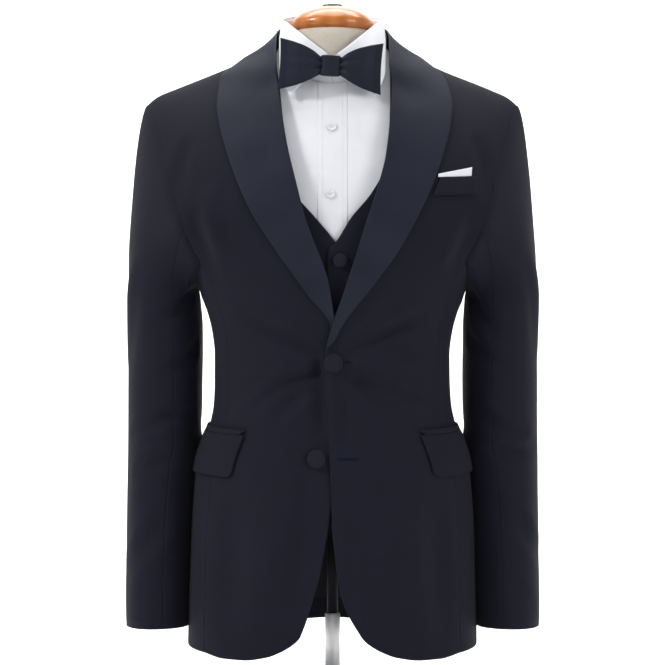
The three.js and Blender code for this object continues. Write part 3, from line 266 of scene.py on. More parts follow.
# Front edges, by height: where they lie on the wearer's right and left front
FRONT_EDGE = [
    (98, -38.5, 34.5), (122, -29.6, 20.2), (143, -23.6, 11.5), (173, -15.2, 5.5), (200, -10.2, 2.5),
    (225, -5.9, -0.2), (265, 0, -1.2), (311, 4, -3.6), (362, 9, -5.2), (410, 14, -8.3),
    (430, 15, -8.6), (445, 13.5, -6.9), (476, 2.5, 1.6), (498, -0.7, 9.5), (529, -6.9, 19.8),
    (562, -18.9, 30.6), (594, -31.5, 40.5), (628, -40.5, 51.8), (675, -52.2, 64.2),
    (722, -60.6, 69.7), (757, -64.6, 71), (790, -69.5, 71.5), (820, -72.5, 72.5),
]
WAISTCOAT_EDGE = [
    (195, -22, 22), (222, -2, 2), (240, 8, -6), (300, 9, -7), (545, 9, -7), (562, 7.5, -4.5),
    (571, 2.5, 4.5), (600, -21, 23), (628, -45, 46), (660, -62, 64), (700, -77, 78),
    (760, -88, 88), (820, -93, 93),
]
PLACKET_HALF = 18.3
SHIRT_EDGE = [
    (240, -PLACKET_HALF - SEAM_GAP, PLACKET_HALF + SEAM_GAP),
    (820, -PLACKET_HALF - SEAM_GAP, PLACKET_HALF + SEAM_GAP),
]

jacket = {
    "layer": JACKET, "edge": FRONT_EDGE, "skirt": (98, 200),
    "front_hem": [
        (0, 98), (0.035, 93), (0.086, 88), (0.205, 79.6), (0.36, 72.6), (0.6, 68.4), (0.8, 68.6), (1, 73),
    ],
    "side_hem": [(0, 73), (0.5, 77), (1, 80)],
    "back_hem": [(0, 92), (0.5, 87), (1, 80)],
    "sink": 2.8, "sink_from": 150, "armhole": armhole(JACKET, 175, 184), "shoulder": 231,
    "scoop": 30, "scoop_from": 500, "oval": (72, 72, 6), "centre": SEAM_GAP / 2, "back_turn": SEAM_TURN,
}
waistcoat = {
    "layer": WAISTCOAT, "edge": WAISTCOAT_EDGE, "skirt": (222, 300),
    "front_hem": [(0, 222), (0.14, 205), (0.5, 228), (1, 252)],
    "side_hem": [(0, 252), (1, 258)],
    "back_hem": [(0, 256), (1, 258)],
    "sink": 2.2, "sink_from": 165, "armhole": armhole(WAISTCOAT, 153.5, 153.5), "shoulder": 158,
    "scoop": 30, "scoop_from": 425, "oval": (92, 76, 6), "centre": 0, "back_turn": 0,
}
shirt = {
    "layer": SHIRT, "edge": SHIRT_EDGE, "skirt": (245, 300), "fan_front": True,
    "front_hem": [(0, 245), (1, 262)],
    "side_hem": [(0, 262), (1, 262)],
    "back_hem": [(0, 262), (1, 262)],
    "sink": 0, "sink_from": 0, "armhole": armhole(SHIRT, 162, 168), "shoulder": 174,
    "scoop": 26, "scoop_from": 425, "oval": (63.4, 61.4, 6), "centre": 0, "back_turn": 0,
}

# Sleeve sections: height, inner and outer side, centre of the depth and half of it
SLEEVE = [
    (98.5, 185.5, 257, -2, 56), (131, 185, 257, 0, 57.5), (187, 183.5, 257, 4, 60),
    (229, 181.5, 257, 8, 62), (264, 179, 257, 12, 63.5), (300, 175.5, 257, 15.5, 65),
    (330, 167.5, 257, 17.5, 66), (380, 164, 257, 18, 67), (470, 164, 256, 14, 71),
    (505, 166, 256, 12, 72),
]
BICEP_Z = 505
CUFF_Z = 98.5
SLEEVE_LEAN = 8.4
LEAN_BELOW, LEAN_INSIDE = (306, 350), (182, 215)
LEVEL_LENGTH = 100
CAP_DROP = 0.85
SEAM_TUCK = 4
SLEEVE_ROUNDNESS = 2.2
SLEEVE_SEAM = 0.3
SLEEVE_SEAM_GAP = 0.0002
SHOULDER_SHARE, NOTCH_SHARE = 0.27, 0.36
CAP_REACH = np.array([40, 0, -14])
UNDERARM_REACH = np.array([4, 0, -12])


def armhole_loop(w):
    """Round the armhole: 0 at the shoulder, 0.5 under the arm, going down the front."""
    from_top = np.minimum(w, 1 - w)
    over = YOKE_Z + 90 * (1 - from_top / SHOULDER_SHARE)
    down = lerp(YOKE_Z, ARMHOLE_Z, (from_top - SHOULDER_SHARE) / (NOTCH_SHARE - SHOULDER_SHARE))
    level = np.where(from_top < SHOULDER_SHARE, over, np.minimum(down, YOKE_Z))
    level = np.maximum(level, ARMHOLE_Z)
    front = torso(JACKET, -1, outer_x(jacket, -1, level), level)
    back = torso(JACKET, 1, outer_x(jacket, 1, level), level)
    under = side_panel(jacket, 1, (w - NOTCH_SHARE) / (1 - 2 * NOTCH_SHARE), np.full_like(w, ARMHOLE_Z))
    upper = np.where((w < 0.5)[..., None], front, back)
    return np.where((from_top < NOTCH_SHARE)[..., None], upper, under)


def sleeve_section(w, z):
    inner, outer = curve(SLEEVE, 1, z), curve(SLEEVE, 2, z)
    turn = 2 * np.pi * w
    power = 2 / SLEEVE_ROUNDNESS
    x = (inner + outer) / 2 + (outer - inner) / 2 * signed_power(np.cos(turn), power)
    y = curve(SLEEVE, 3, z) - curve(SLEEVE, 4, z) * signed_power(np.sin(turn), power)
    return points(x, y, z)


def sleeve_point(side, turns, down):
    """Down the sleeve: 0 to 1 over the cap, then one more for each LEVEL_LENGTH."""
    w = turns - np.floor(turns)
    start = armhole_loop(w) + np.array([SEAM_GAP, 0, 0])
    end = sleeve_section(w, np.full_like(w, BICEP_Z))
    under = smoothstep(np.minimum(w, 1 - w), 0.28, 0.5)[..., None]
    leave = lerp(CAP_REACH, UNDERARM_REACH, under)
    drop = -CAP_DROP * np.abs(start[..., 2] - end[..., 2])
    t = np.clip(down, 0, 1)[..., None]
    cap = lerp(start, end, t * t * (3 - 2 * t)) + leave * t * (1 - t) ** 2
    cap[..., 2] -= drop * (t * t * (1 - t))[..., 0]
    tube = sleeve_section(w, BICEP_Z - (np.maximum(down, 1) - 1) * LEVEL_LENGTH)
    at = np.where((down >= 1)[..., None], tube, cap)
    # low down the sleeve's inner side rests against the skirt
    leaning = (1 - smoothstep(at[..., 2], *LEAN_BELOW)) * (1 - smoothstep(at[..., 0], *LEAN_INSIDE))
    at[..., 0] -= SLEEVE_LEAN * leaning
    at[..., 0] *= side
    return at


def loft(net, u, v):
    """A smooth sheet through a net of points, read by real-numbered column and row."""
    found = np.zeros(u.shape + (3,))
    for axis in range(3):
        across = np.stack([
            curve([(c, at[axis]) for c, at in enumerate(row)], 1, u[0]) for row in net
        ])
        for c in range(u.shape[1]):
            rows = [(r, across[r, c]) for r in range(len(net))]
            found[:, c, axis] = curve(rows, 1, v[:, c])
    return found


# Folds

def on_body(face, x, z):
    return torso(JACKET, face, np.float64(x), level_at(JACKET, face, np.float64(x), np.float64(z)))


def on_sleeve(side, w, z):
    """A point of the sleeve by share of a turn from its outer side, going round the front."""
    at = sleeve_section(np.float64(w), np.float64(z))
    at[0] *= side
    return at


def laid(surface, way, creases):
    """Creases with their points moved from (across, height) onto a surface."""
    return [([surface(way, *point) for point in run], width, height) for run, width, height in creases]


# Each crease: where it runs, its half width and its height, below 0 where it sinks.
# The troughs that fan out from the closed button come first.
FRONT_CREASES = [
    ([(-12, 416), (-52, 402), (-94, 381)], 7, -2.6),
    ([(-20, 402), (-50, 378), (-76, 346)], 9, -1.6),
    ([(-14, 436), (-60, 458), (-112, 489)], 8, -2.0),
    ([(-22, 424), (-70, 424), (-118, 420)], 10, 1.5),
    ([(13, 415), (60, 398), (96, 380)], 7, -2.2),
    ([(16, 418), (78, 396), (138, 378)], 9, -1.5),
    ([(23, 404), (48, 388), (80, 364)], 8, -2.4),
    ([(14, 436), (62, 460), (116, 488)], 8, -2.0),
    ([(24, 426), (70, 427), (112, 424)], 10, 1.6),
    ([(14, 400), (16, 360), (14, 318)], 8, -0.9),
    # the left front's edge stands off the right front, which falls back beside it
    ([(-18, 440), (-16, 390), (-14, 318)], 9, -2.5),
    ([(-1, 416), (0, 370), (0, 300)], 7, 0.8),
    # short sharp pulls right beside the button
    ([(-11, 424), (-24, 414), (-42, 400)], 5, -1.2),
    ([(-12, 432), (-26, 441), (-46, 454)], 5, -0.9),
    ([(20, 408), (32, 399), (48, 392)], 5, -1.0),
    ([(-60, 404), (-92, 388), (-124, 356)], 8, 1.1),
    ([(52, 404), (88, 384), (118, 352)], 8, 1.0),
    # the skirt hangs in long shallow waves
    ([(-66, 270), (-74, 190), (-84, 84)], 22, 2.0),
    ([(-118, 270), (-124, 190), (-130, 80)], 18, -1.8),
    ([(72, 272), (80, 190), (92, 84)], 24, 1.8),
    ([(124, 268), (130, 180), (136, 80)], 16, -1.9),
    ([(-32, 300), (-34, 230), (-44, 150)], 12, -1.3),
    # chest and armhole
    ([(-168, 610), (-158, 570), (-142, 520)], 12, -2.0),
    ([(170, 606), (158, 566), (144, 524)], 11, -2.2),
    ([(-150, 640), (-146, 600), (-130, 556)], 12, 1.3),
    ([(-176, 700), (-184, 660), (-180, 620)], 10, -1.2),
    ([(178, 704), (184, 664), (182, 622)], 11, -1.3),
]
# Across the waist, below the collar and down from the shoulder blades
BACK_CREASES = [
    ([(-120, 428), (-66, 416), (-20, 420)], 8, -1.9),
    ([(18, 408), (70, 404), (124, 418)], 9, -1.8),
    ([(-104, 386), (-60, 378), (-30, 384)], 7, -1.3),
    ([(40, 448), (84, 452), (126, 464)], 8, -1.2),
    ([(-152, 620), (-142, 570), (-124, 512)], 13, -2.0),
    ([(150, 616), (140, 566), (126, 520)], 12, -2.1),
    ([(-60, 780), (0, 772), (56, 781)], 9, -1.2),
    ([(-74, 300), (-82, 200), (-90, 92)], 22, 1.8),
    ([(66, 296), (76, 200), (82, 92)], 20, 1.9),
    ([(-126, 280), (-130, 190), (-134, 90)], 16, -1.5),
    ([(124, 276), (128, 180), (132, 92)], 15, -1.6),
]
# The elbow's creases in front, behind and outside, and the long twist down to the cuff
LEFT_SLEEVE_CREASES = [
    ([(0.42, 516), (0.36, 490), (0.26, 462)], 9, -2.4),
    ([(0.44, 462), (0.34, 440), (0.22, 428)], 8, -2.0),
    ([(0.40, 372), (0.28, 350), (0.14, 340)], 9, -2.2),
    ([(0.36, 322), (0.24, 314), (0.08, 322)], 8, -1.6),
    ([(0.34, 250), (0.18, 216), (0.03, 180)], 11, -1.9),
    ([(0.30, 170), (0.20, 140), (0.10, 122)], 10, -1.2),
    ([(0.94, 380), (0.82, 352), (0.68, 342)], 9, -2.0),
    ([(0.92, 312), (0.78, 320), (0.64, 306)], 8, -1.8),
    ([(0.66, 500), (0.78, 470), (0.90, 452)], 10, -1.9),
    ([(0.10, 560), (0.06, 500), (0.03, 430)], 14, 1.5),
]
RIGHT_SLEEVE_CREASES = [
    ([(0.42, 522), (0.34, 494), (0.22, 474)], 9, -2.2),
    ([(0.44, 452), (0.36, 430), (0.24, 408)], 9, -2.1),
    ([(0.40, 364), (0.26, 356), (0.10, 334)], 8, -2.3),
    ([(0.38, 306), (0.24, 300), (0.12, 284)], 9, -1.5),
    ([(0.32, 236), (0.20, 196), (0.06, 160)], 12, -1.8),
    ([(0.94, 388), (0.80, 362), (0.66, 330)], 9, -2.1),
    ([(0.90, 300), (0.80, 310), (0.66, 322)], 8, -1.6),
    ([(0.64, 506), (0.76, 482), (0.88, 446)], 10, -1.8),
    ([(0.11, 556), (0.07, 496), (0.02, 420)], 14, 1.4),
]
CREASES = laid(on_body, -1, FRONT_CREASES) + laid(on_body, 1, BACK_CREASES)
CREASES += laid(on_sleeve, 1, LEFT_SLEEVE_CREASES) + laid(on_sleeve, -1, RIGHT_SLEEVE_CREASES)
SHIRT_CREASES = [
    (([-52, -96, 640], [-30, -104, 660], [-4, -106, 664]), 6, -0.9),
    (([54, -96, 690], [34, -100, 700], [14, -102, 690]), 6, -0.9),
    (([-46, -90, 742], [-34, -96, 716], [-26, -102, 684]), 5, -1.0),
    (([48, -88, 738], [36, -96, 712], [28, -100, 676]), 5, 0.9),
    (([-36, -100, 612], [-14, -106, 600], [12, -108, 606]), 7, -0.8),
]
LINING_CREASES = [
    (([-40, 112, 196], [-10, 114, 202], [30, 112, 192]), 5, -1.2),
    (([-26, 112, 164], [4, 114, 170], [20, 112, 180]), 4, -1.0),
    (([-12, 112, 280], [-6, 114, 220], [-10, 112, 150]), 5, 0.9),
]
CREASE_SAMPLES = 16
CREASE_DEPTH = 2.8
RIDGE_SHARE = 0.28
# Each wave: its direction with its frequency, its phase and its height
WAVES = [
    ((0.021, 0.008, 0.009), 0.4, 0.45), ((-0.034, 0.011, 0.016), 1.9, 0.30),
    ((0.052, -0.021, 0.031), 3.1, 0.18), ((0.012, 0.044, -0.047), 5.2, 0.16),
    ((-0.071, 0.030, 0.058), 0.9, 0.10), ((0.083, 0.061, 0.022), 2.5, 0.08),
]


def crease_lift(at, creases):
    """How far creases raise (or sink) each point: deepest at mid length, fading out at both ends."""
    lift = np.zeros(at.shape[:-1])
    for run, width, height in creases:
        run = np.array(run, float)
        keys = np.linspace(0, 1, len(run))
        t = np.linspace(0, 1, CREASE_SAMPLES)
        line = np.stack([curve(list(zip(keys, run[:, k])), 1, t) for k in range(3)], axis=-1)
        low, high = line.min(0) - 3 * width, line.max(0) + 3 * width
        near = np.all((at > low) & (at < high), axis=-1)
        if not near.any():
            continue
        some = at[near]
        best = np.full(len(some), np.inf)
        share = np.zeros(len(some))
        for i in range(CREASE_SAMPLES - 1):
            step = line[i + 1] - line[i]
            along = np.clip(((some - line[i]) @ step) / (step @ step), 0, 1)
            gap = np.linalg.norm(some - line[i] - along[:, None] * step, axis=-1)
            closer = gap < best
            best[closer] = gap[closer]
            share[closer] = (i + along[closer]) / (CREASE_SAMPLES - 1)
        fade = np.sin(np.pi * share) ** 0.7 * (1 - 0.35 * share)
        # a trough has a soft ridge on either side of it
        ratio = best / width
        profile = np.exp(-(ratio**2)) - RIDGE_SHARE * np.exp(-((ratio - 1.7) ** 2) / 0.5)
        lift[near] += height * fade * profile
    return lift


def waves(at, size):
    """The soft unevenness of hanging cloth."""
    lift = np.zeros(at.shape[:-1])
    for direction, phase, height in WAVES:
        lift += height * np.sin(at @ np.array(direction) + phase)
    return lift * size


def jacket_folds(at):
    return CREASE_DEPTH * crease_lift(at, CREASES) + waves(at, 1.1)


def shirt_folds(at):
    return crease_lift(at, SHIRT_CREASES) + waves(at * 1.6, 0.35)


def lining_folds(at):
    return crease_lift(at, LINING_CREASES) + waves(at * 2, 0.4)


# Meshes

BODY_CORE = np.array([0, 0, 400])
NECK_CORE = np.array([0, 6, 830])
ROLL = 0.3
RIM_REACH = 0.12
SEAM_CLOSE = 0.003


def finer(rows, steps):
    """The same rows with each interval cut into equal steps."""
    rows = np.asarray(rows, float)
    parts = [np.linspace(a, b, steps, endpoint=False) for a, b in zip(rows[:-1], rows[1:])]
    return np.append(np.concatenate(parts), rows[-1])


def spread(low, high, count):
    return np.linspace(low, high, count + 1)


def seam_spread(low, high, count):
    """Even steps with one more close to each end, so that a seam shades as a thin line."""
    steps = spread(low, high, count)
    close = (high - low) * SEAM_CLOSE
    return np.sort(np.append(steps, [low + close, high - close]))


def grid_normals(at, core):
    normals = np.cross(np.gradient(at, axis=1), np.gradient(at, axis=0))
    normals /= np.maximum(np.linalg.norm(normals, axis=-1, keepdims=True), 1e-9)
    away = at - core
    if np.sum(normals * away) < 0:
        normals = -normals
    return normals


def shell(at, thick, core, folds=None):
    """A closed cloth wall on a grid of outer points, with its rims rolled round."""
    normals = grid_normals(at, core)
    if folds is not None:
        at = at + normals * folds(at)[..., None]
        normals = grid_normals(at, core)
    rows, columns = at.shape[:2]
    border = np.zeros((rows, columns), bool)
    border[[0, -1], :] = border[:, [0, -1]] = True
    drop = np.where(border, ROLL * 0.5 * thick, 0)[..., None]
    outer = at - normals * drop
    inner = at - normals * (thick - drop)
    # the rim's middle stands out past the edge
    ring = [(0, c) for c in range(columns)] + [(r, columns - 1) for r in range(1, rows)]
    ring += [(rows - 1, c) for c in range(columns - 2, -1, -1)]
    ring += [(r, 0) for r in range(rows - 2, 0, -1)]
    middle = []
    for r, c in ring:
        inward = at[min(max(r, 1), rows - 2), min(max(c, 1), columns - 2)] - at[r, c]
        inward /= max(np.linalg.norm(inward), 1e-9)
        middle.append(at[r, c] - normals[r, c] * thick / 2 - inward * RIM_REACH * thick)
    return outer, inner, np.array(middle), ring, normals


def arc(at, axis):
    """Length along one axis of a grid of points, from its first row or column."""
    steps = np.linalg.norm(np.diff(at, axis=axis), axis=-1)
    zero = np.zeros_like(np.take(steps, [0], axis=axis))
    return np.cumsum(np.concatenate([zero, steps], axis=axis), axis=axis)


def cloth_mesh(name, grids, thick, core, folds=None):
    """One mesh from one or more grids of outer points, with cloth coordinates in metres."""
    vertices, faces, uvs = [], [], []
    for at in grids:
        outer, inner, middle, ring, normals = shell(at, thick, core, folds)
        rows, columns = at.shape[:2]
        count = rows * columns
        base = len(vertices)
        vertices += list(outer.reshape(-1, 3)) + list(inner.reshape(-1, 3)) + list(middle)
        u = arc(at, 1).mean(axis=0) * MM
        v = arc(at, 0).mean(axis=1) * MM
        flat = [(float(u[c]), float(v[r])) for r in range(rows) for c in range(columns)]
        uvs += flat + flat + [(float(u[c]), float(v[r])) for r, c in ring]
        outward = np.dot(np.cross(at[0, 1] - at[0, 0], at[1, 0] - at[0, 0]), normals[0, 0]) > 0
        for r in range(rows - 1):
            for c in range(columns - 1):
                a = base + r * columns + c
                quad = (a, a + 1, a + 1 + columns, a + columns)
                under = tuple(i + count for i in reversed(quad))
                faces += [quad, under] if outward else [quad[::-1], under[::-1]]
        edge = base + 2 * count
        for i in range(len(ring)):
            j = (i + 1) % len(ring)
            top_i = base + ring[i][0] * columns + ring[i][1]
            top_j = base + ring[j][0] * columns + ring[j][1]
            upper = (top_i, edge + i, edge + j, top_j)
            lower = (edge + i, top_i + count, top_j + count, edge + j)
            faces += [upper, lower] if outward else [upper[::-1], lower[::-1]]
    return make_mesh(name, np.array(vertices), faces, uvs)


def make_mesh(name, vertices, faces, uvs=None):
    mesh = bpy.data.meshes.new(name)
    mesh.from_pydata((vertices * MM).tolist(), [], faces)
    if uvs is not None:
        layer = mesh.uv_layers.new(name="cloth")
        corners = np.empty(len(mesh.loops), dtype=np.int32)
        mesh.loops.foreach_get("vertex_index", corners)
        layer.data.foreach_set("uv", np.array(uvs, dtype=np.float32)[corners].ravel())
    mesh.polygons.foreach_set("use_smooth", [True] * len(mesh.polygons))
    mesh.update()
    obj = bpy.data.objects.new(name, mesh)
    bpy.context.scene.collection.objects.link(obj)
    return obj


def place(obj, material, nodes):
    """Gives a mesh its material and the CAD nodes it stands in for."""
    obj.data.materials.append(material)
    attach(obj, "root")
    if nodes:
        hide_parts(*nodes)


def cloth(node, material, grids, thick, core=BODY_CORE, folds=None):
    """A sewn piece in fine cloth in place of its CAD node."""
    obj = cloth_mesh(node.replace("_", "-"), grids, thick, core, folds)
    place(obj, material, [node])


# Materials

class Nodes:
    """A material's node tree, built with short calls."""

    def __init__(self, name):
        self.material = bpy.data.materials.new(name)
        self.material.use_nodes = True
        self.tree = self.material.node_tree
        self.shader = self.tree.nodes["Principled BSDF"]
        self.coordinates = self.tree.nodes.new("ShaderNodeTexCoord")

    def link(self, source, target):
        self.tree.links.new(source, target)

    def node(self, kind, inputs=None, **settings):
        made = self.tree.nodes.new(kind)
        for key, value in settings.items():
            setattr(made, key, value)
        for key, value in (inputs or {}).items():
            if hasattr(value, "is_linked"):
                self.link(value, made.inputs[key])
            else:
                made.inputs[key].default_value = value
        return made

    def place(self, space, scale=(1, 1, 1), turn=0):
        mapping = self.node("ShaderNodeMapping", {"Scale": scale, "Rotation": (0, 0, turn)})
        self.link(self.coordinates.outputs[space], mapping.inputs["Vector"])
        return mapping.outputs["Vector"]

    def noise(self, vector, scale, detail=3, rough=0.55):
        inputs = {"Vector": vector, "Scale": scale, "Detail": detail, "Roughness": rough}
        return self.node("ShaderNodeTexNoise", inputs).outputs["Fac"]

    def wave(self, vector, scale, direction="X", distortion=0.0):
        made = self.node("ShaderNodeTexWave", {"Vector": vector, "Scale": scale, "Distortion": distortion})
        made.bands_direction = direction
        return made.outputs["Fac"]

    def math(self, operation, a, b=0.0):
        return self.node("ShaderNodeMath", {0: a, 1: b}, operation=operation).outputs[0]

    def mix(self, *parts):
        """The sum of factors, each with its share."""
        scaled = [self.math("MULTIPLY", factor, share) for factor, share in parts]
        total = scaled[0]
        for part in scaled[1:]:
            total = self.math("ADD", total, part)
        return total

    def blend(self, factor, dark, light, low=0.3, high=0.7):
        ramp = self.node("ShaderNodeValToRGB")
        ramp.color_ramp.elements[0].position = low
        ramp.color_ramp.elements[1].position = high
        ramp.color_ramp.elements[0].color = (*dark, 1)
        ramp.color_ramp.elements[1].color = (*light, 1)
        self.link(factor, ramp.inputs["Fac"])
        return ramp.outputs["Color"]

    def span(self, factor, low, high):
        made = self.node("ShaderNodeMapRange", {"Value": factor, "To Min": low, "To Max": high})
        return made.outputs["Result"]

    def bump(self, height, distance, strength=1.0, base=None):
        made = self.node("ShaderNodeBump", {"Height": height, "Distance": distance, "Strength": strength})
        if base is not None:
            self.link(base, made.inputs["Normal"])
        return made.outputs["Normal"]

    def finish(self, color, rough, normal, **constants):
        self.link(color, self.shader.inputs["Base Color"])
        self.link(rough, self.shader.inputs["Roughness"])
        self.link(normal, self.shader.inputs["Normal"])
        for key, value in constants.items():
            self.shader.inputs[key.replace("_", " ")].default_value = value
        return self.material


# The width of a wave texture's band at a scale of 1, in metres
WAVE_BAND = 0.314


def band(pitch):
    """Scale of a wave whose bands lie a pitch apart, in metres."""
    return WAVE_BAND / pitch


def wool(name, dark, light):
    """Worsted wool: a fine diagonal twill, fibre fleck, slubs and a weak bloom in grazing light."""
    n = Nodes(name)
    cloth_uv = n.place("UV")
    diagonal = n.place("UV", turn=math.radians(48))
    twill = n.wave(diagonal, band(0.0009), distortion=0.6)
    fleck = n.noise(cloth_uv, 900, 4, 0.7)
    slub = n.noise(n.place("UV", scale=(1, 14, 1)), 70, 4, 0.65)
    cloudy = n.noise(n.place("Object"), 26, 4)
    color = n.blend(n.mix((fleck, 0.3), (cloudy, 0.3), (slub, 0.4)), dark, light, 0.35, 0.65)
    rough = n.span(cloudy, 0.74, 0.9)
    woven = n.bump(twill, 0.00012, 0.55)
    fuzzy = n.bump(slub, 0.0003, 0.35, n.bump(fleck, 0.0002, 0.4, woven))
    return n.finish(color, rough, fuzzy,
                    Sheen_Weight=0.04, Sheen_Roughness=0.45, Specular_IOR_Level=0.14)


def satin(name, dark, light):
    """Fine threads with long streaks, smoother than wool."""
    n = Nodes(name)
    threads = n.wave(n.place("UV", turn=math.radians(90)), band(0.0006), distortion=0.4)
    streaks = n.noise(n.place("UV", scale=(1, 7, 1)), 150, 3, 0.6)
    cloudy = n.noise(n.place("Object"), 20, 3)
    color = n.blend(n.mix((streaks, 0.4), (cloudy, 0.6)), dark, light)
    rough = n.span(streaks, 0.48, 0.62)
    woven = n.bump(threads, 0.00006, 0.4)
    soft = n.bump(cloudy, 0.0016, 0.35, woven)
    return n.finish(color, rough, soft,
                    Sheen_Weight=0.03, Sheen_Roughness=0.3, Specular_IOR_Level=0.11, Anisotropic=0.2)


def plain_weave(name, dark, light, pitch, depth, rough, slub=0.3, sheen=0.05, gloss=0.3):
    """Threads over and under each other, some thicker than others."""
    n = Nodes(name)
    uv = n.place("UV")
    warp = n.wave(uv, band(pitch), "X", 0.5)
    weft = n.wave(uv, band(pitch * 1.1), "Y", 0.5)
    woven = n.math("MULTIPLY", warp, weft)
    thick = n.noise(n.place("UV", scale=(1, 9, 1)), 90, 4, 0.6)
    cloudy = n.noise(n.place("Object"), 22, 3)
    color = n.blend(n.mix((thick, slub), (cloudy, 1 - slub)), dark, light)
    height = n.bump(woven, depth, 0.6)
    return n.finish(color, n.span(thick, *rough), n.bump(thick, depth * 1.2, 0.35, height),
                    Sheen_Weight=sheen, Sheen_Roughness=0.5, Specular_IOR_Level=gloss)


def turned_wood(name):
    """Orange-brown varnished wood with growth rings across a turned block."""
    n = Nodes(name)
    rings = n.wave(n.place("Object", scale=(1, 0.35, 2.2), turn=0.4), 17, "X", 2.6)
    pores = n.noise(n.place("Object", scale=(14, 1.4, 14)), 120, 4, 0.6)
    color = n.blend(n.mix((rings, 0.7), (pores, 0.3)), (0.50, 0.145, 0.022), (0.63, 0.205, 0.038), 0.1, 0.9)
    rough = n.span(pores, 0.24, 0.36)
    return n.finish(color, rough, n.bump(pores, 0.0002, 0.35), Coat_Weight=0.3, Coat_Roughness=0.16)


def metal(name, dark, light, smooth, dull):
    """Metal with marks round it, as turning and wiping leave them."""
    n = Nodes(name)
    brushed = n.noise(n.place("Object", scale=(1, 1, 40)), 60, 3)
    color = n.blend(brushed, dark, light)
    rough = n.span(brushed, smooth, dull)
    return n.finish(color, rough, n.bump(brushed, 0.00005, 0.3), Metallic=1.0)


def button_shell(name):
    """Polished white, faintly clouded."""
    n = Nodes(name)
    swirl = n.noise(n.place("Object", scale=(1, 2, 1)), 160, 3)
    color = n.blend(swirl, (0.70, 0.70, 0.71), (0.84, 0.84, 0.86))
    return n.finish(color, n.span(swirl, 0.22, 0.34), n.bump(swirl, 0.00008, 0.3), Coat_Weight=0.4)


NAVY = ((0.0072, 0.0074, 0.0150), (0.0120, 0.0122, 0.0232))
WOOL = wool("navy-worsted", *NAVY)
# The buttons' cover is the navy worsted made lighter: a painted highlight for the light on their domed
# faces
LIGHTENED_BUTTON_WOOL = wool("button-worsted-painted-highlight", (0.0092, 0.0100, 0.0190), (0.0146, 0.0158, 0.0280))
VEST_WOOL = wool("waistcoat-worsted", (0.0074, 0.0077, 0.0152), (0.0122, 0.0125, 0.0236))
SATIN = satin("navy-satin", (0.0130, 0.0150, 0.0270), (0.0195, 0.0220, 0.0370))
LINING_CLOTH = satin("grey-lining", (0.0120, 0.0122, 0.0150), (0.0210, 0.0212, 0.0250))
COTTON = plain_weave(
    "white-poplin", (0.78, 0.79, 0.84), (0.86, 0.87, 0.91), 0.0006, 0.00006, (0.7, 0.85), slub=0.25,
)
CALICO = plain_weave(
    "calico", (0.66, 0.58, 0.49), (0.80, 0.73, 0.64), 0.0011, 0.0002, (0.8, 0.95), slub=0.5,
)
THREAD = plain_weave(
    "buttonhole-thread", (0.004, 0.008, 0.036), (0.009, 0.016, 0.062), 0.0005, 0.0001, (0.6, 0.75),
    sheen=0.0, gloss=0.05,
)
WHITE_THREAD = plain_weave(
    "white-thread", (0.74, 0.75, 0.79), (0.84, 0.85, 0.88), 0.0004, 0.0001, (0.55, 0.7),
)
WOOD = turned_wood("varnished-wood")
METAL = metal("polished-metal", (0.16, 0.16, 0.17), (0.28, 0.28, 0.29), 0.2, 0.34)
POLE_METAL = metal("pole-metal", (0.92, 0.92, 0.93), (0.97, 0.97, 0.98), 0.46, 0.58)
ROD_PAINT = plain_weave(
    "black-rod-paint", (0.006, 0.006, 0.008), (0.011, 0.011, 0.013), 0.002, 0.00002, (0.55, 0.7),
    sheen=0.0, gloss=0.2,
)
SHIRT_BUTTON = button_shell("shirt-button")

# Jacket

SKIRT_ROWS = [98, 122, 155, 200]
WAIST_ROWS = [250, 300, 332, 355, 385, 425, 462, 492, 520]
CHEST_ROWS = [ARMHOLE_Z, 574, YOKE_Z]
SHOULDER_ROWS = [615, 630, 645, 659, 671, 681]
JACKET_ROWS = SKIRT_ROWS + WAIST_ROWS + CHEST_ROWS + SHOULDER_ROWS
STEPS = 8


def grid(function, given, across, along):
    """Points of a sheet at each pair of a column's and a row's coordinate."""
    return function(*given, *np.meshgrid(across, along))


for name, side in SIDES.items():
    front_rows = finer(JACKET_ROWS + [TOP[-1]], STEPS)
    back_rows = finer(JACKET_ROWS + [TOP[1]], STEPS)
    side_rows = finer(SKIRT_ROWS + WAIST_ROWS + [ARMHOLE_Z], STEPS)
    front = grid(front_panel, (jacket, side), seam_spread(0, 1, 72), front_rows)
    flank_wall = grid(side_panel, (jacket, side), seam_spread(0, 1, 44), side_rows)
    across = seam_spread(0, jacket["shoulder"], 80)
    back = grid(back_panel, (jacket, side), across, back_rows)
    for part, at, under in (
        ("front", front, ["form_torso", f"waistcoat_front_{name}"]),
        ("side", flank_wall, ["form_torso"]),
        ("back", back, ["form_torso"]),
    ):
        cloth(f"jacket_{part}_{name}", WOOL, [at], WALL, folds=jacket_folds)

LINING_HALF = 80
LINING_ROWS = [118, 170, 215, 260, 305]
lining = grid(torso, (LINING, 1), spread(-LINING_HALF, LINING_HALF, 90), finer(LINING_ROWS, 20))
cloth("back_lining", LINING_CLOTH, [lining], FINE_WALL, folds=lining_folds)

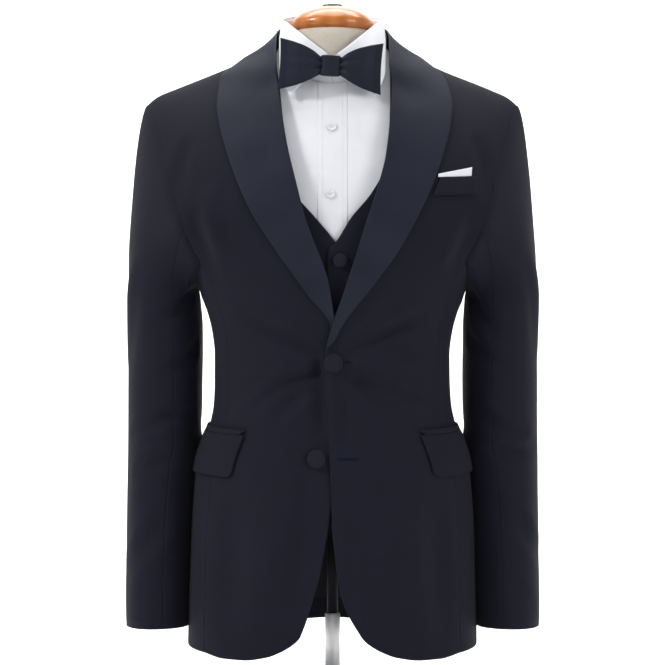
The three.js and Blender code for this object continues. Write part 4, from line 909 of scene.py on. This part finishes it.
SLEEVE_DOWN = [0, 0.07, 0.18, 0.34, 0.54, 0.77, 1]
SLEEVE_DOWN += [1 + (BICEP_Z - z) / LEVEL_LENGTH for z in (470, 420, 375, 335, 300, 262, 200, CUFF_Z)]
SLEEVE_CORE = np.array([211, 14, 400])
TOP_END, UNDER_END = SLEEVE_SEAM - SLEEVE_SEAM_GAP, SLEEVE_SEAM + SLEEVE_SEAM_GAP
for name, side in SIDES.items():
    core = SLEEVE_CORE * (side, 1, 1)
    top, under = (
        grid(sleeve_point, (side,), across, finer(SLEEVE_DOWN, 9))
        for across in (seam_spread(-TOP_END, TOP_END, 72), seam_spread(UNDER_END, 1 - UNDER_END, 54))
    )
    # the cap's seam allowance turns in under the body, which closes the seam
    tuck = np.array([SEAM_TUCK * side, 0, 0])
    top, under = (np.concatenate([part[:1] - tuck, part]) for part in (top, under))
    cloth(f"sleeve_top_{name}", WOOL, [top], WALL, core, jacket_folds)
    cloth(f"sleeve_under_{name}", WOOL, [under], WALL, core, jacket_folds)

# Shawl collar and lapels: from the roll line out over the front, and round the neck
LAPEL_EDGE = [
    (445, 2, -1), (472, -3, 13), (486, -11, 22.5), (500, -24, 34.5), (530, -46, 57.5),
    (565, -70.5, 82), (600, -93.5, 101), (628, -107.8, 115), (663, -121.7, 128.5),
    (695, -132.6, 139), (724, -139.7, 145.5), (754, -143.4, 148),
]
LAPEL_LIFT, ROLL_PUFF = 2.7, 2
LAPEL_SHARPNESS, COLLAR_SHARPNESS = 3, 1.2
LAPEL_POINT = 1.2
LAPEL_COVER, LAPEL_SINK = 2.5, 1.9
LAPEL_LEVELS = {"left": [444, 452, 462, 478, 492, 506], "right": [463, 470, 478, 486, 493, 501, 510]}
LAPEL_TIP = {"left": 452, "right": 463}
LAPEL_CHEST = [520, 534, 548, 574, 600, 615, 630, 645, 655]
LAPEL_COLUMNS = [0, 0.14, 0.38, 0.69, 1]
# Neck rows: face, outer edge and its turn, lift, foot and its turn, and the fold line itself
COLLAR_ROWS = [
    (-1, 139, 70, 3.8, 69.5, 62, (70.5, -48, 790)),
    (-1, 122, 80, 3.8, 71, 74, (70.7, -22, 817)),
    (-1, 99, 89, 4.6, 72, 84, (70.5, 6, 837)),
    (1, 84, 77, 5.4, 66, 73, (67, 34, 846)),
    (1, 66, 66.5, 5, 54, 66, (54, 58, 852)),
    (1, 40, 56, 4.2, 32, 57, (30, 72, 855)),
    (1, 0.6, 50, 3.2, 0.6, 51.5, (0.6, 77, 856)),
]


def on_jacket(face, side, x, level, lift):
    """The jacket's outer face, moved out along its normal."""
    def sheet(a, b):
        return sunk_under_left(jacket, torso(JACKET, face, np.float64(a), np.float64(b)), side, b)

    across = sheet(x + 0.2, level) - sheet(x - 0.2, level)
    along = sheet(x, level + 0.1) - sheet(x, level - 0.1)
    normal = np.cross(across, along)
    normal /= np.linalg.norm(normal)
    if normal[2] + face * normal[1] < 0:
        normal = -normal
    return sheet(x, level) + normal * lift


def lapel_row(side, face, foot, edge, fold, sharpness, lift):
    """One row of a lapel, rising to its fold near the foot and flat towards its edge."""
    raised = fold - on_jacket(face, side, *foot, lift)
    row = []
    for u in LAPEL_COLUMNS:
        at = on_jacket(face, side, lerp(foot[0], edge[0], u), lerp(foot[1], edge[1], u), lift)
        row.append(at + raised * (1 - u) ** sharpness)
    return row


for name, side in SIDES.items():
    column = LEFT if side > 0 else RIGHT
    stations = []
    for level in LAPEL_LEVELS[name] + LAPEL_CHEST:
        foot = (float(edge_x(jacket, FRONT_EDGE, column, level)), level)
        edge = (float(edge_x(jacket, LAPEL_EDGE, column, level)), level)
        lift = LAPEL_LIFT
        if level < LAPEL_TIP[name]:
            # the left lapel runs out to a point on the front's edge
            edge = (foot[0] + LAPEL_POINT * side, level)
        if side < 0:
            # the right one goes down under the left front's edge
            covered = float(edge_x(jacket, FRONT_EDGE, LEFT, level)) + LAPEL_COVER
            foot = (min(foot[0], covered), level)
            lift = LAPEL_LIFT - LAPEL_SINK * float(1 - smoothstep(level, 464, 488))
        fold = on_jacket(-1, side, *foot, lift + ROLL_PUFF * float(smoothstep(level, 462, 492)))
        stations.append(lapel_row(side, -1, foot, edge, fold, LAPEL_SHARPNESS, lift))
    for face, out_x, edge_turn, lift, foot_x, foot_turn, fold in COLLAR_ROWS:
        foot, edge = (side * foot_x, YOKE_Z + foot_turn), (side * out_x, YOKE_Z + edge_turn)
        fold = np.array([side * fold[0], fold[1], fold[2]])
        stations.append(lapel_row(side, face, foot, edge, fold, COLLAR_SHARPNESS, lift))
    across = spread(0, len(LAPEL_COLUMNS) - 1, 44)
    lapel = grid(loft, (stations,), across, finer(range(len(stations)), 8))
    cloth(f"shawl_collar_{name}", SATIN, [lapel], WALL, folds=jacket_folds)

# Collar stands: degrees from the centre back, foot and top, with the neck's half sizes and its centre
STAND = [
    (-92, 824, 833), (-60, 828, 842), (-30, 823, 849), (0, 818, 852.5), (30, 823, 849), (60, 828, 842),
    (92, 824, 833),
]
STAND_OVAL = (69, 68, 6)
SHIRT_STAND = [
    (0, 822, 868), (30, 826, 865), (55, 832, 859), (90, 824, 851), (120, 804, 841), (150, 770, 819),
    (180, 752, 800),
]
SHIRT_OVAL = (61.5, 59, 5.1)


def stand_point(rows, oval, turn, up):
    """A table that starts at 0 degrees holds one half, and the other half is the same."""
    around = np.abs(turn) if rows[0][0] == 0 else turn
    z = lerp(curve(rows, 1, around), curve(rows, 2, around), up)
    angle = np.radians(turn)
    return points(oval[0] * np.sin(angle), oval[2] + oval[1] * np.cos(angle), z)


stand = grid(stand_point, (STAND, STAND_OVAL), spread(-92, 92, 90), spread(0, 1, 10))
cloth("jacket_collar_stand", WOOL, [stand], WALL, NECK_CORE)

# Pockets: heights at their front and back end, and how far they stand off the jacket's face
FLAP_TOP, FLAP_FOOT = (338, 344), (287.5, 293)
FLAP_HEIGHT, FLAP_WIDTH, FLAP_CORNER = FLAP_TOP[0] - FLAP_FOOT[0], 150, 8
FLAP_LAYER, JET_LAYER = {"girth": -3.5}, {"girth": -3.2}
FLAP_TURNS = (-52, -49, 16)
JET = (0.6, 6.5)
WELT_CORNERS = [(121, 626.5), (173, 629), (130, 648), (176, 651)]
SQUARE_CORNERS = [(127, 648.8), (168, 651.4), (127.5, 652.6), (169, 662)]


def pocket_point(layer, side, upper, lower, u, down):
    front_above, front_below, back = FLAP_TURNS
    turn = lerp(lerp(front_above, front_below, down), back, u)
    return flank(layer, side, turn, lerp(lerp(*upper, u), lerp(*lower, u), down))


def rounded_flap(side, u, down):
    """The flap's lower corners are rounded: its rows draw in towards the foot."""
    past = np.clip(down * FLAP_HEIGHT - (FLAP_HEIGHT - FLAP_CORNER), 0, FLAP_CORNER)
    inset = (FLAP_CORNER - np.sqrt(FLAP_CORNER**2 - past**2)) / FLAP_WIDTH
    return pocket_point(FLAP_LAYER, side, FLAP_TOP, FLAP_FOOT, lerp(inset, 1 - inset, u), down)


def chest_patch(layer, corners, u, up):
    """A patch on the left front between its lower and upper corners, inner ones first."""
    low_in, low_out, high_in, high_out = corners
    x, z = (lerp(lerp(low_in[k], low_out[k], u), lerp(high_in[k], high_out[k], u), up) for k in (0, 1))
    return torso(layer, -1, x, level_at(layer, -1, x, z))


corner_rows = [1 - FLAP_CORNER / FLAP_HEIGHT * (1 - math.sin(t)) for t in np.linspace(0, math.pi / 2, 12)]
rows = np.append(np.linspace(0, corner_rows[0], 16, endpoint=False), corner_rows)
for name, side in SIDES.items():
    flap = grid(rounded_flap, (side,), spread(0, 1, 70), rows)
    upper = tuple(z + JET[1] for z in FLAP_TOP)
    lower = tuple(z + JET[0] for z in FLAP_TOP)
    jet = grid(pocket_point, (JET_LAYER, side, upper, lower), spread(0, 1, 70), spread(0, 1, 5))
    for part, at, thick, held in (("flap", flap, WALL, "hung"), ("jet", jet, FOLD_WALL, "folded")):
        cloth(f"pocket_{part}_{name}", WOOL, [at], thick, folds=jacket_folds)

ON_CHEST = {"girth": -2.8, "ridge": -2.8}
welt = grid(chest_patch, (ON_CHEST, WELT_CORNERS), spread(0, 1, 40), spread(0, 1, 16))
cloth("breast_pocket_welt", WOOL, [welt], WALL, folds=jacket_folds)
square = grid(chest_patch, (ON_CHEST, SQUARE_CORNERS), spread(0, 1, 36), spread(0, 1, 8))
cloth("pocket_square", COTTON, [square], VEST_WALL, folds=jacket_folds)


# Buttons and buttonholes
def seat(layer, x, z, lift):
    """Where a button stands on the front, and the way it faces."""
    def sheet(a, b):
        a, b = np.float64(a), np.float64(b)
        return torso(layer, -1, a, level_at(layer, -1, a, b))

    normal = np.cross(sheet(x + 1, z) - sheet(x - 1, z), sheet(x, z + 1) - sheet(x, z - 1))
    normal /= np.linalg.norm(normal)
    if normal[1] > 0:
        normal = -normal
    return sheet(x, z) + normal * lift, normal


def tube_faces(rings, sides, base=0):
    """Quads between rings of points that follow each other from base on."""
    faces = []
    for low in range(base, base + (rings - 1) * sides, sides):
        for i in range(sides):
            j = (i + 1) % sides
            faces.append((low + i, low + j, low + sides + j, low + sides + i))
    return faces


def tube_ends(rings, sides, base=0):
    """The two faces that close a tube of rings."""
    top = base + (rings - 1) * sides
    return [tuple(range(base, base + sides))[::-1], tuple(range(top, top + sides))]


def turned(profile, sides):
    """Vertices and faces of a profile of (radius, height) turned round the +Z axis."""
    vertices = []
    for radius, height in profile:
        for i in range(sides):
            angle = 2 * math.pi * i / sides
            vertices.append((radius * math.cos(angle), radius * math.sin(angle), height))
    return np.array(vertices), tube_faces(len(profile), sides) + tube_ends(len(profile), sides)


def flat_uvs(vertices, across=0, along=1):
    return [(float(v[across] * MM), float(v[along] * MM)) for v in vertices]


def stand_on(at, normal, node, vertices, faces, material, slot):
    """Places a mesh that was built about the origin, with its +Z along the normal."""
    obj = make_mesh(node.replace("_", "-"), vertices, faces, flat_uvs(vertices))
    obj.rotation_mode = "QUATERNION"
    obj.rotation_quaternion = Vector(normal).to_track_quat("Z", "Y")
    obj.location = Vector(at) * MM
    place(obj, material, [node])


# A covered button, in shares of its height: its shank, and where its shoulder ends
SHANK, SHOULDER = 0.4, 0.38


def button(node, at, normal, radius, height, material, slot):
    """A covered button: a domed top with a soft shoulder, on a short shank."""
    shank = SHANK * height
    profile = [(radius * 0.4, 0), (radius * 0.4, shank), (radius * 0.9, shank)]
    profile += [(radius * 0.985, shank + height * 0.2), (radius, shank + height * SHOULDER)]
    # the dome, from its shoulder nearly to its middle
    for t in np.linspace(0.15, 1.5, 14):
        dome = SHOULDER + (1 - SHOULDER) * math.sin(t) ** 0.8
        profile.append((radius * math.cos(t), shank + height * dome))
    stand_on(at, normal, node, *turned(profile, 48), material, slot)


# Where each button stands: across, height and how far off its layer
JACKET_BUTTONS = {"top": (1.4, 425.4, 0.6), "lower": (-19.2, 311, -1.5)}
WAISTCOAT_BUTTON_ROWS = (548, 478, 408, 338, 268)
# Both kinds of button use the lightened worsted, whose lighter tone is a painted highlight
for name, spot in JACKET_BUTTONS.items():
    button(f"jacket_button_{name}", *seat(JACKET, *spot), 11, 5.2, LIGHTENED_BUTTON_WOOL, "wool")
for i, z in enumerate(WAISTCOAT_BUTTON_ROWS):
    node = f"waistcoat_button_{i + 1}"
    button(node, *seat(WAISTCOAT, 9.6, z, 0.9), 8.6, 2.6, LIGHTENED_BUTTON_WOOL, "waistcoat_wool")


# The shirt button's profile and its thread, in shares of its radius and height
RIM_PROFILE = [
    (0.7, 0), (0.94, 0), (1, 0.4), (0.95, 0.85), (0.82, 1), (0.7, 0.8), (0.5, 0.66), (0.12, 0.62),
]
CROSS_REACH, CROSS_HEIGHT, CROSS_RISE = 0.32, 0.66, 0.2
CROSS_THREAD, CROSS_GAP = 0.28, 0.3
ROUND_THREAD = 6


def four_hole_button(node, at, normal, radius, height):
    """A sewn-through shirt button: a raised rim, a dished middle, and a cross of thread."""
    vertices, faces = turned([(radius * r, height * h) for r, h in RIM_PROFILE], 40)
    vertices = list(vertices)
    steps = np.linspace(-1, 1, 9)
    for angle in (45, 135):
        turn = math.radians(angle)
        along = np.array([math.cos(turn), math.sin(turn), 0])
        aside = np.array([-math.sin(turn), math.cos(turn), 0])
        for offset in (-CROSS_GAP, CROSS_GAP):
            faces += tube_faces(len(steps), ROUND_THREAD, len(vertices))
            for s in steps:
                rise = height * (CROSS_HEIGHT + CROSS_RISE * (1 - s * s))
                middle = along * s * radius * CROSS_REACH + aside * offset + np.array([0, 0, rise])
                for q in range(ROUND_THREAD):
                    spin = 2 * math.pi * q / ROUND_THREAD
                    up = np.array([0, 0, CROSS_THREAD * math.sin(spin)])
                    vertices.append(middle + aside * CROSS_THREAD * math.cos(spin) + up)
    stand_on(at, normal, node, np.array(vertices), faces, SHIRT_BUTTON, "shirt_button")


SHIRT_BUTTONS = [(-1.2, 711), (-2.5, 628)]
for i, (x, z) in enumerate(SHIRT_BUTTONS):
    four_hole_button(f"shirt_button_{i + 1}", *seat(PLACKET, x, z, 0.5), 5.8, 2)

# A stitch, by share of its length: how thick it is there, in shares of its radius
STITCH = [(0, 0.25), (0.18, 0.9), (0.5, 1), (0.82, 0.9), (1, 0.25)]


def stitches(name, ends, material, radius):
    """Short threads in one mesh, each between two points, with tapered ends."""
    vertices, faces = [], []
    for start, end, normal in ends:
        step = end - start
        along = step / np.linalg.norm(step)
        aside = np.cross(along, normal)
        faces += tube_faces(len(STITCH), ROUND_THREAD, len(vertices))
        faces += tube_ends(len(STITCH), ROUND_THREAD, len(vertices))
        for t, thick in STITCH:
            middle = start + step * t + normal * radius * (1.2 * math.sin(math.pi * t) - 0.3)
            for q in range(ROUND_THREAD):
                spin = 2 * math.pi * q / ROUND_THREAD
                around = aside * math.cos(spin) + normal * math.sin(spin)
                vertices.append(middle + around * radius * thick)
    vertices = np.array(vertices)
    place(make_mesh(name, vertices, faces, flat_uvs(vertices, 0, 2)), material, [])


# A worked hole: the stitches' length, their distance from the slit and from the cloth, and their pitch
HOLE_STITCH, HOLE_SLIT, HOLE_LIFT = 0.8, 0.35, 0.25
HOLE_PITCH, EYE_PITCH, EYE_RADIUS = 0.62, 24, 0.7


def buttonhole(name, x_from, x_to, z):
    """A worked buttonhole: stitches side by side round a slit, fanned round its eye."""
    ends = []
    at, normal = seat(JACKET, (x_from + x_to) / 2, z, 0)
    at = at + normal * float(jacket_folds(at[None])[0])
    across = np.cross(np.array([0, 0, 1.0]), normal)
    across /= np.linalg.norm(across)
    up = np.cross(normal, across)
    half = abs(x_to - x_from) / 2
    for s in np.arange(-half, half, HOLE_PITCH):
        for way in (-1, 1):
            start = at + across * s + up * way * HOLE_SLIT + normal * HOLE_LIFT
            ends.append((start, start + up * way * HOLE_STITCH, normal))
    eye = at - across * half + normal * HOLE_LIFT
    for angle in np.arange(0, 360, EYE_PITCH):
        turn = math.radians(angle)
        out = across * math.cos(turn) + up * math.sin(turn)
        ends.append((eye + out * EYE_RADIUS, eye + out * (EYE_RADIUS + HOLE_STITCH), normal))
    stitches(name, ends, THREAD, 0.3)


buttonhole("buttonhole-lower", 7, 31, 310.5)
buttonhole("buttonhole-top", 11.6, 22.5, 426.5)

# Waistcoat and shirt

INNER_SIDE_ROWS = [222, 262, 300, 340, 375, 440, 492, 520, ARMHOLE_Z]
vest_rows = finer(INNER_SIDE_ROWS + [560, 571, 585, YOKE_Z] + SHOULDER_ROWS + [TOP[-1]], 6)
for name, side in SIDES.items():
    front = grid(front_panel, (waistcoat, side), spread(0, 1, 56), vest_rows)
    cloth(f"waistcoat_front_{name}", VEST_WOOL, [front], VEST_WALL,
          folds=lambda at: waves(at * 1.3, 0.5))


def whole_back(cut, rows, flank_rows):
    """Both halves of a back in one piece with the sides, without seam gaps between them."""
    made = []
    across = spread(0, cut["shoulder"], 48)
    for side in SIDES.values():
        made.append(grid(back_panel, (cut, side), across, finer(rows + [TOP[1]], 5)))
        made.append(grid(side_panel, (cut, side), spread(0, 1, 24), finer(flank_rows, 5)))
    return made


vest_back = whole_back(waistcoat, INNER_SIDE_ROWS + [574, YOKE_Z] + SHOULDER_ROWS, INNER_SIDE_ROWS)
cloth("waistcoat_back", VEST_WOOL, vest_back, VEST_WALL)

# The fronts run on under the placket, so no gap shows beside it
UNDER_PLACKET = 2
SHIRT_SIDE_ROWS = [245, 300, 340, 375, 440, 492, 520, ARMHOLE_Z]
SHIRT_ROWS = SHIRT_SIDE_ROWS + [574, YOKE_Z] + SHOULDER_ROWS
TUCKED_EDGE = [(z, right + UNDER_PLACKET, left - UNDER_PLACKET) for z, right, left in SHIRT_EDGE]
tucked = {**shirt, "edge": TUCKED_EDGE}
shirt_rows = finer(SHIRT_ROWS + [TOP[-1]], 8)
for name, side in SIDES.items():
    front = grid(front_panel, (tucked, side), spread(0, 1, 60), shirt_rows)
    cloth(f"shirt_front_{name}", COTTON, [front], FINE_WALL, folds=shirt_folds)
shirt_back = whole_back(shirt, SHIRT_ROWS, SHIRT_SIDE_ROWS)
cloth("shirt_back", COTTON, shirt_back, FINE_WALL)

placket_cut = {**shirt, "layer": PLACKET}


def placket_point(u, level):
    x = lerp(-PLACKET_HALF, PLACKET_HALF, u)
    return torso(PLACKET, -1, x, fanned(placket_cut, -1, x, level))


placket = grid(placket_point, (), spread(0, 1, 24), finer(SHIRT_ROWS + [TOP[-1]], 10))
cloth("shirt_placket", COTTON, [placket], VEST_WALL, folds=shirt_folds)

stand = grid(stand_point, (SHIRT_STAND, SHIRT_OVAL), spread(-180, 180, 130), spread(0, 1, 14))
cloth("shirt_collar_stand", COTTON, [stand], FINE_WALL, NECK_CORE)

# Stations of the fall from the front point to the centre back: fold, middle and lower edge
FALL = [
    ((5.5, -57.5, 803), (27, -67, 778), (52, -74, 750)),
    ((31.6, -49.5, 824), (47, -60, 798), (60, -65, 765)),
    ((54.8, -25.6, 845), (61.5, -33, 824), (66, -40, 789)),
    ((63.4, 6, 854), (65.1, 4, 843), (66.4, 2, 829)),
    ((51.4, 41.2, 862.5), (52.4, 42.2, 848), (53.4, 43.4, 832)),
    ((24.8, 61.6, 869), (25, 62.8, 850), (25.4, 63.8, 831)),
    ((0.6, 66.2, 871), (0.6, 67.4, 851), (0.6, 69, 831)),
]
# Running stitches: their pitch, the thread's share of it, and how far it lies off the cloth
PITCH, STITCH_SHARE, SEW_LIFT = 2.6, 0.72, 0.1


def seam_ends(line, normals):
    """Running stitches along a line of grid points."""
    ends = []
    lengths = np.concatenate([[0], np.cumsum(np.linalg.norm(np.diff(line, axis=0), axis=-1))])
    for start in np.arange(PITCH * 0.3, lengths[-1] - PITCH * 0.7, PITCH):
        stop = start + PITCH * STITCH_SHARE
        a, b, normal = (
            np.array([np.interp(at, lengths, values[:, k]) for k in range(3)])
            for at, values in ((start, line), (stop, line), (start, normals))
        )
        normal /= np.linalg.norm(normal)
        ends.append((a + normal * SEW_LIFT, b + normal * SEW_LIFT, normal))
    return ends


for name, side in SIDES.items():
    stations = [[(side * x, y, z) for x, y, z in row] for row in FALL]
    fall = grid(loft, (stations,), spread(0, 2, 30), finer(range(len(FALL)), 14))
    cloth(f"shirt_collar_fall_{name}", COTTON, [fall], FOLD_WALL, NECK_CORE)
    normals = grid_normals(fall, NECK_CORE)
    # a little inside the lower edge and the front edge
    ends = seam_ends(fall[:, -4], normals[:, -4]) + seam_ends(fall[4, 4:-4], normals[4, 4:-4])
    stitches(f"collar-stitching-{name}", ends, WHITE_THREAD, 0.2)

# The placket's two lines of stitching, 6 mm in from its edges
normals = grid_normals(placket, BODY_CORE)
folded = placket + normals * shirt_folds(placket)[..., None]
placket_ends = [end for c in (4, 20) for end in seam_ends(folded[:, c], normals[:, c])]
stitches("placket-stitching", placket_ends, WHITE_THREAD, 0.2)

# Bow tie

KNOT = np.array([-2.4, -76.6, 786])
BOW_TILT = math.radians(-3.2)
# From the knot out: distance, half height of the wing, and how far it stands forward
WING = [(11.3, 10, 0), (24, 18, 5.5), (42, 26, 5), (63, 31.5, 0)]
WING_LAYERS = {"front": (-8.5, 1.4), "back": (0, -3.4)}
# Each pleat: where it lies up the wing, its width and its height
PLEATS = [(-0.66, 0.13, 1.3), (-0.22, 0.1, -2.0), (0.12, 0.12, 1.4), (0.48, 0.11, -1.8), (0.8, 0.12, 1.0)]


def bow_frame(at):
    """Bow tie coordinates to the garment's: tilted about the knot."""
    c, s = math.cos(-BOW_TILT), math.sin(-BOW_TILT)
    x = at[..., 0] * c + at[..., 2] * s
    z = -at[..., 0] * s + at[..., 2] * c
    return points(x, at[..., 1], z) + KNOT


def wing_point(side, reach, lift, out, up):
    """Pleats leave the knot sharply and die away towards the wing's end."""
    share = (out - WING[0][0]) / (WING[-1][0] - WING[0][0])
    half = curve(WING, 1, out) + reach * 0.4 * share
    pleat = 0
    for middle, width, height in PLEATS:
        pleat = pleat + height * np.exp(-(((up - middle * (1 - 0.35 * share)) / width) ** 2))
    forward = curve(WING, 2, out) + 2.2 * (1 - up * up) + lift + pleat * (1 - share) ** 1.3
    x = side * (out + reach * share - 1.5 * share * (1 - up * up))
    return bow_frame(points(x, -forward, up * half))


WING_FROM, WING_TO = 8.6, 63
BEHIND_KNOT = KNOT + np.array([0, 100, 0])
for name, side in SIDES.items():
    for layer, (reach, lift) in WING_LAYERS.items():
        across = spread(WING_FROM, WING_TO, 52)
        wing = grid(wing_point, (side, reach, lift), across, spread(-1, 1, 56))
        cloth(f"bow_{layer}_{name}", SATIN, [wing], BOW_WALL, BEHIND_KNOT)


KNOT_HALF = (13, 6.6, 12.4)
KNOT_BAND = (0.03, 0.0125)


def knot_mesh():
    """The knot: a band pulled tight round the wings, narrower in the middle, with upright folds."""
    rows, sides = spread(-1, 1, 26), 60
    vertices, uvs = [], []
    for up in rows:
        end = math.sqrt(max(1 - max(0, (abs(up) - 0.8) / 0.2) ** 2, 0)) * 0.18 + 0.82
        for i in range(sides):
            angle = 2 * math.pi * i / sides
            across, deep = math.cos(angle), math.sin(angle)
            fold = 0.35 * math.sin(across * 7 + 0.6) * max(0, -deep) * (1 - 0.4 * up * up)
            x = KNOT_HALF[0] * signed_power(across, 0.95) * (0.88 + 0.12 * up * up) * end
            y = KNOT_HALF[1] * signed_power(deep, 0.95) * end - 1.6 - fold
            vertices.append(bow_frame(np.array([x, y, KNOT_HALF[2] * up])))
            uvs.append((KNOT_BAND[0] * i / sides, KNOT_BAND[1] * up))
    faces = tube_faces(len(rows), sides) + tube_ends(len(rows), sides)
    return make_mesh("bow-knot", np.array(vertices), faces, uvs)


place(knot_mesh(), SATIN, ["bow_knot"])

# Dress form

FORM_FOOT, FOOT_SHARE = 240, 0.96
FORM_ROWS = [FORM_FOOT, 300, 340, 375, 440, 492, 520, ARMHOLE_Z, 574, YOKE_Z] + SHOULDER_ROWS + [690]
FORM_ARM = [(CHEST_Z, 146), (560, 150), (YOKE_Z, 156)]
FORM_NECK = {"x": 49, "y": 50, "centre": 6, "low": 700, "high": 838}


def form_ring(level, count=40):
    """One section of the torso, cut off straight at the arms."""
    half = float(curve(BODY, HALF, min(level, YOKE_Z))) - FORM["girth"]
    plate = float(curve(FORM_ARM, 1, min(level, YOKE_Z)))
    limit = half if level <= CHEST_Z else min(plate, half)
    across = limit * np.sin(np.linspace(-1, 1, count) * math.pi / 2)
    level = np.full(count, float(level))
    return np.concatenate([torso(FORM, -1, across, level), torso(FORM, 1, -across, level)])


def form_mesh():
    """The torso, closed at its foot and its shoulders, with the neck standing in it."""
    rings = [form_ring(FORM_FOOT) * np.array([FOOT_SHARE, FOOT_SHARE, 1])]
    rings += [form_ring(level) for level in finer(FORM_ROWS, 6)[1:]]
    around = len(rings[0])
    vertices = np.concatenate(rings)
    faces = tube_faces(len(rings), around) + tube_ends(len(rings), around)[:1]
    top = (len(rings) - 1) * around
    for c in range(around // 2 - 1):
        faces.append((top + c, top + c + 1, top + around - 2 - c, top + around - 1 - c))
    low, high = FORM_NECK["low"], FORM_NECK["high"]
    profile = [(0.98, low), (1, low + 20), (1, 826), (0.995, 834), (0.97, high)]
    neck, neck_faces = turned(profile, 72)
    neck[:, 0] *= FORM_NECK["x"]
    neck[:, 1] = neck[:, 1] * FORM_NECK["y"] + FORM_NECK["centre"]
    faces += [tuple(i + len(vertices) for i in face) for face in neck_faces]
    vertices = np.concatenate([vertices, neck])
    angle = np.arctan2(vertices[:, 1], vertices[:, 0])
    uvs = [(float(a * 0.1), float(v[2] * MM)) for a, v in zip(angle, vertices)]
    return make_mesh("form-torso", vertices, faces, uvs)


def turned_piece(name, profile, sides, centre_y, material, nodes):
    vertices, faces = turned(profile, sides)
    vertices[:, 1] += centre_y
    place(make_mesh(name, vertices, faces, flat_uvs(vertices)), material, nodes)


place(form_mesh(), CALICO, ["form_torso"])
CAP = [(46, 838.3), (48.8, 839.4), (50.5, 842), (51.4, 844.4), (51.5, 847), (50.8, 850.2), (49, 853)]
CAP += [(45, 857.2), (40, 861), (34, 864), (28, 866), (24, 867.4), (20, 868.2)]
KNOB = [(12.6, 868.5), (13.5, 868.9), (13.5, 870.6), (13, 871.6), (11.9, 872.6), (10.6, 873.2), (9, 873.3)]
turned_piece("form-neck-cap", CAP, 96, FORM_NECK["centre"], WOOD, ["form_neck_cap"])
turned_piece("form-knob", KNOB, 72, FORM_NECK["centre"], METAL, ["form_knob"])
# The stand's bright tube stops just under the lining, and a black rod goes on up into the form
TUBE_TOP = 112
TUBE = [(9.5, 12.3), (9.5, TUBE_TOP - 1.6), (9, TUBE_TOP - 0.5), (7.8, TUBE_TOP)]
ROD = [(7, TUBE_TOP + 0.1), (7, 239.7)]
turned_piece("form-pole", TUBE, 64, 0, POLE_METAL, ["form_pole"])
turned_piece("form-pole-rod", ROD, 48, 0, ROD_PAINT, [])
BASE = [(148.4, 0), (149.6, 0.8), (150, 2), (150, 10), (149.5, 11.4), (148, 12), (60, 12)]
turned_piece("form-base", BASE, 128, 0, POLE_METAL, ["form_base"])

# Floor, light and camera

# Stations of the backdrop from the front to the top of the wall, in metres: depth and height
BACKDROP = [(-3.2, 0), (1.6, 0), (2.1, 0.06), (2.45, 0.25), (2.65, 0.6), (2.7, 1.2), (2.7, 4)]


def backdrop():
    """A pale floor that turns up into a wall behind the garment."""
    vertices = [(x, y, z) for y, z in BACKDROP for x in (-4, 4)]
    faces = [(2 * i, 2 * i + 1, 2 * i + 3, 2 * i + 2) for i in range(len(BACKDROP) - 1)]
    obj = make_mesh("backdrop", np.array(vertices) / MM, faces)
    n = Nodes("pale-floor")
    speckle = n.noise(n.place("Object"), 40, 3)
    color = n.blend(speckle, (0.93, 0.93, 0.93), (0.95, 0.95, 0.95))
    pale = n.finish(color, n.span(speckle, 0.85, 0.95), n.bump(speckle, 0.0001, 0.1))
    obj.data.materials.append(pale)


def area_light(name, at, aim, size, power):
    data = bpy.data.lights.new(name, "AREA")
    data.energy, data.size, data.shape = power, size, "SQUARE"
    obj = bpy.data.objects.new(name, data)
    obj.location = at
    obj.rotation_mode = "QUATERNION"
    obj.rotation_quaternion = (Vector(aim) - Vector(at)).to_track_quat("-Z", "Y")
    bpy.context.scene.collection.objects.link(obj)


backdrop()
# Each light: where it is and points, in metres, its size and its power in watts
LIGHTS = {
    "key": ((-2.4, -1.3, 2.2), (0, 0, 0.5), 0.6, 50),
    "fill": ((2.2, -1.6, 1.2), (0, 0, 0.45), 1.0, 22),
    "top": ((0, -0.2, 2.8), (0, 0, 0.6), 1.2, 16),
    "wall": ((0, 1.0, 2.6), (0, 2.7, 0.8), 2.2, 110),
}
for name, light in LIGHTS.items():
    area_light(name, *light)

WORLD_STRENGTH = 0.32
world = bpy.data.worlds.new("studio")
world.use_nodes = True
sky = world.node_tree.nodes["Background"].inputs
sky["Color"].default_value = (1, 1, 1, 1)
sky["Strength"].default_value = WORLD_STRENGTH
bpy.context.scene.world = world
bpy.context.scene.view_settings.view_transform = "Standard"

CAMERA_AT = (0, -2.8, 0.462)
LENS, SENSOR = 121.3, 36
camera_data = bpy.data.cameras.new("camera")
camera_data.sensor_width = SENSOR
camera_data.lens = LENS
camera = bpy.data.objects.new("camera", camera_data)
camera.location = CAMERA_AT
camera.rotation_euler = (math.pi / 2, 0, 0)
bpy.context.scene.collection.objects.link(camera)
bpy.context.scene.camera = camera
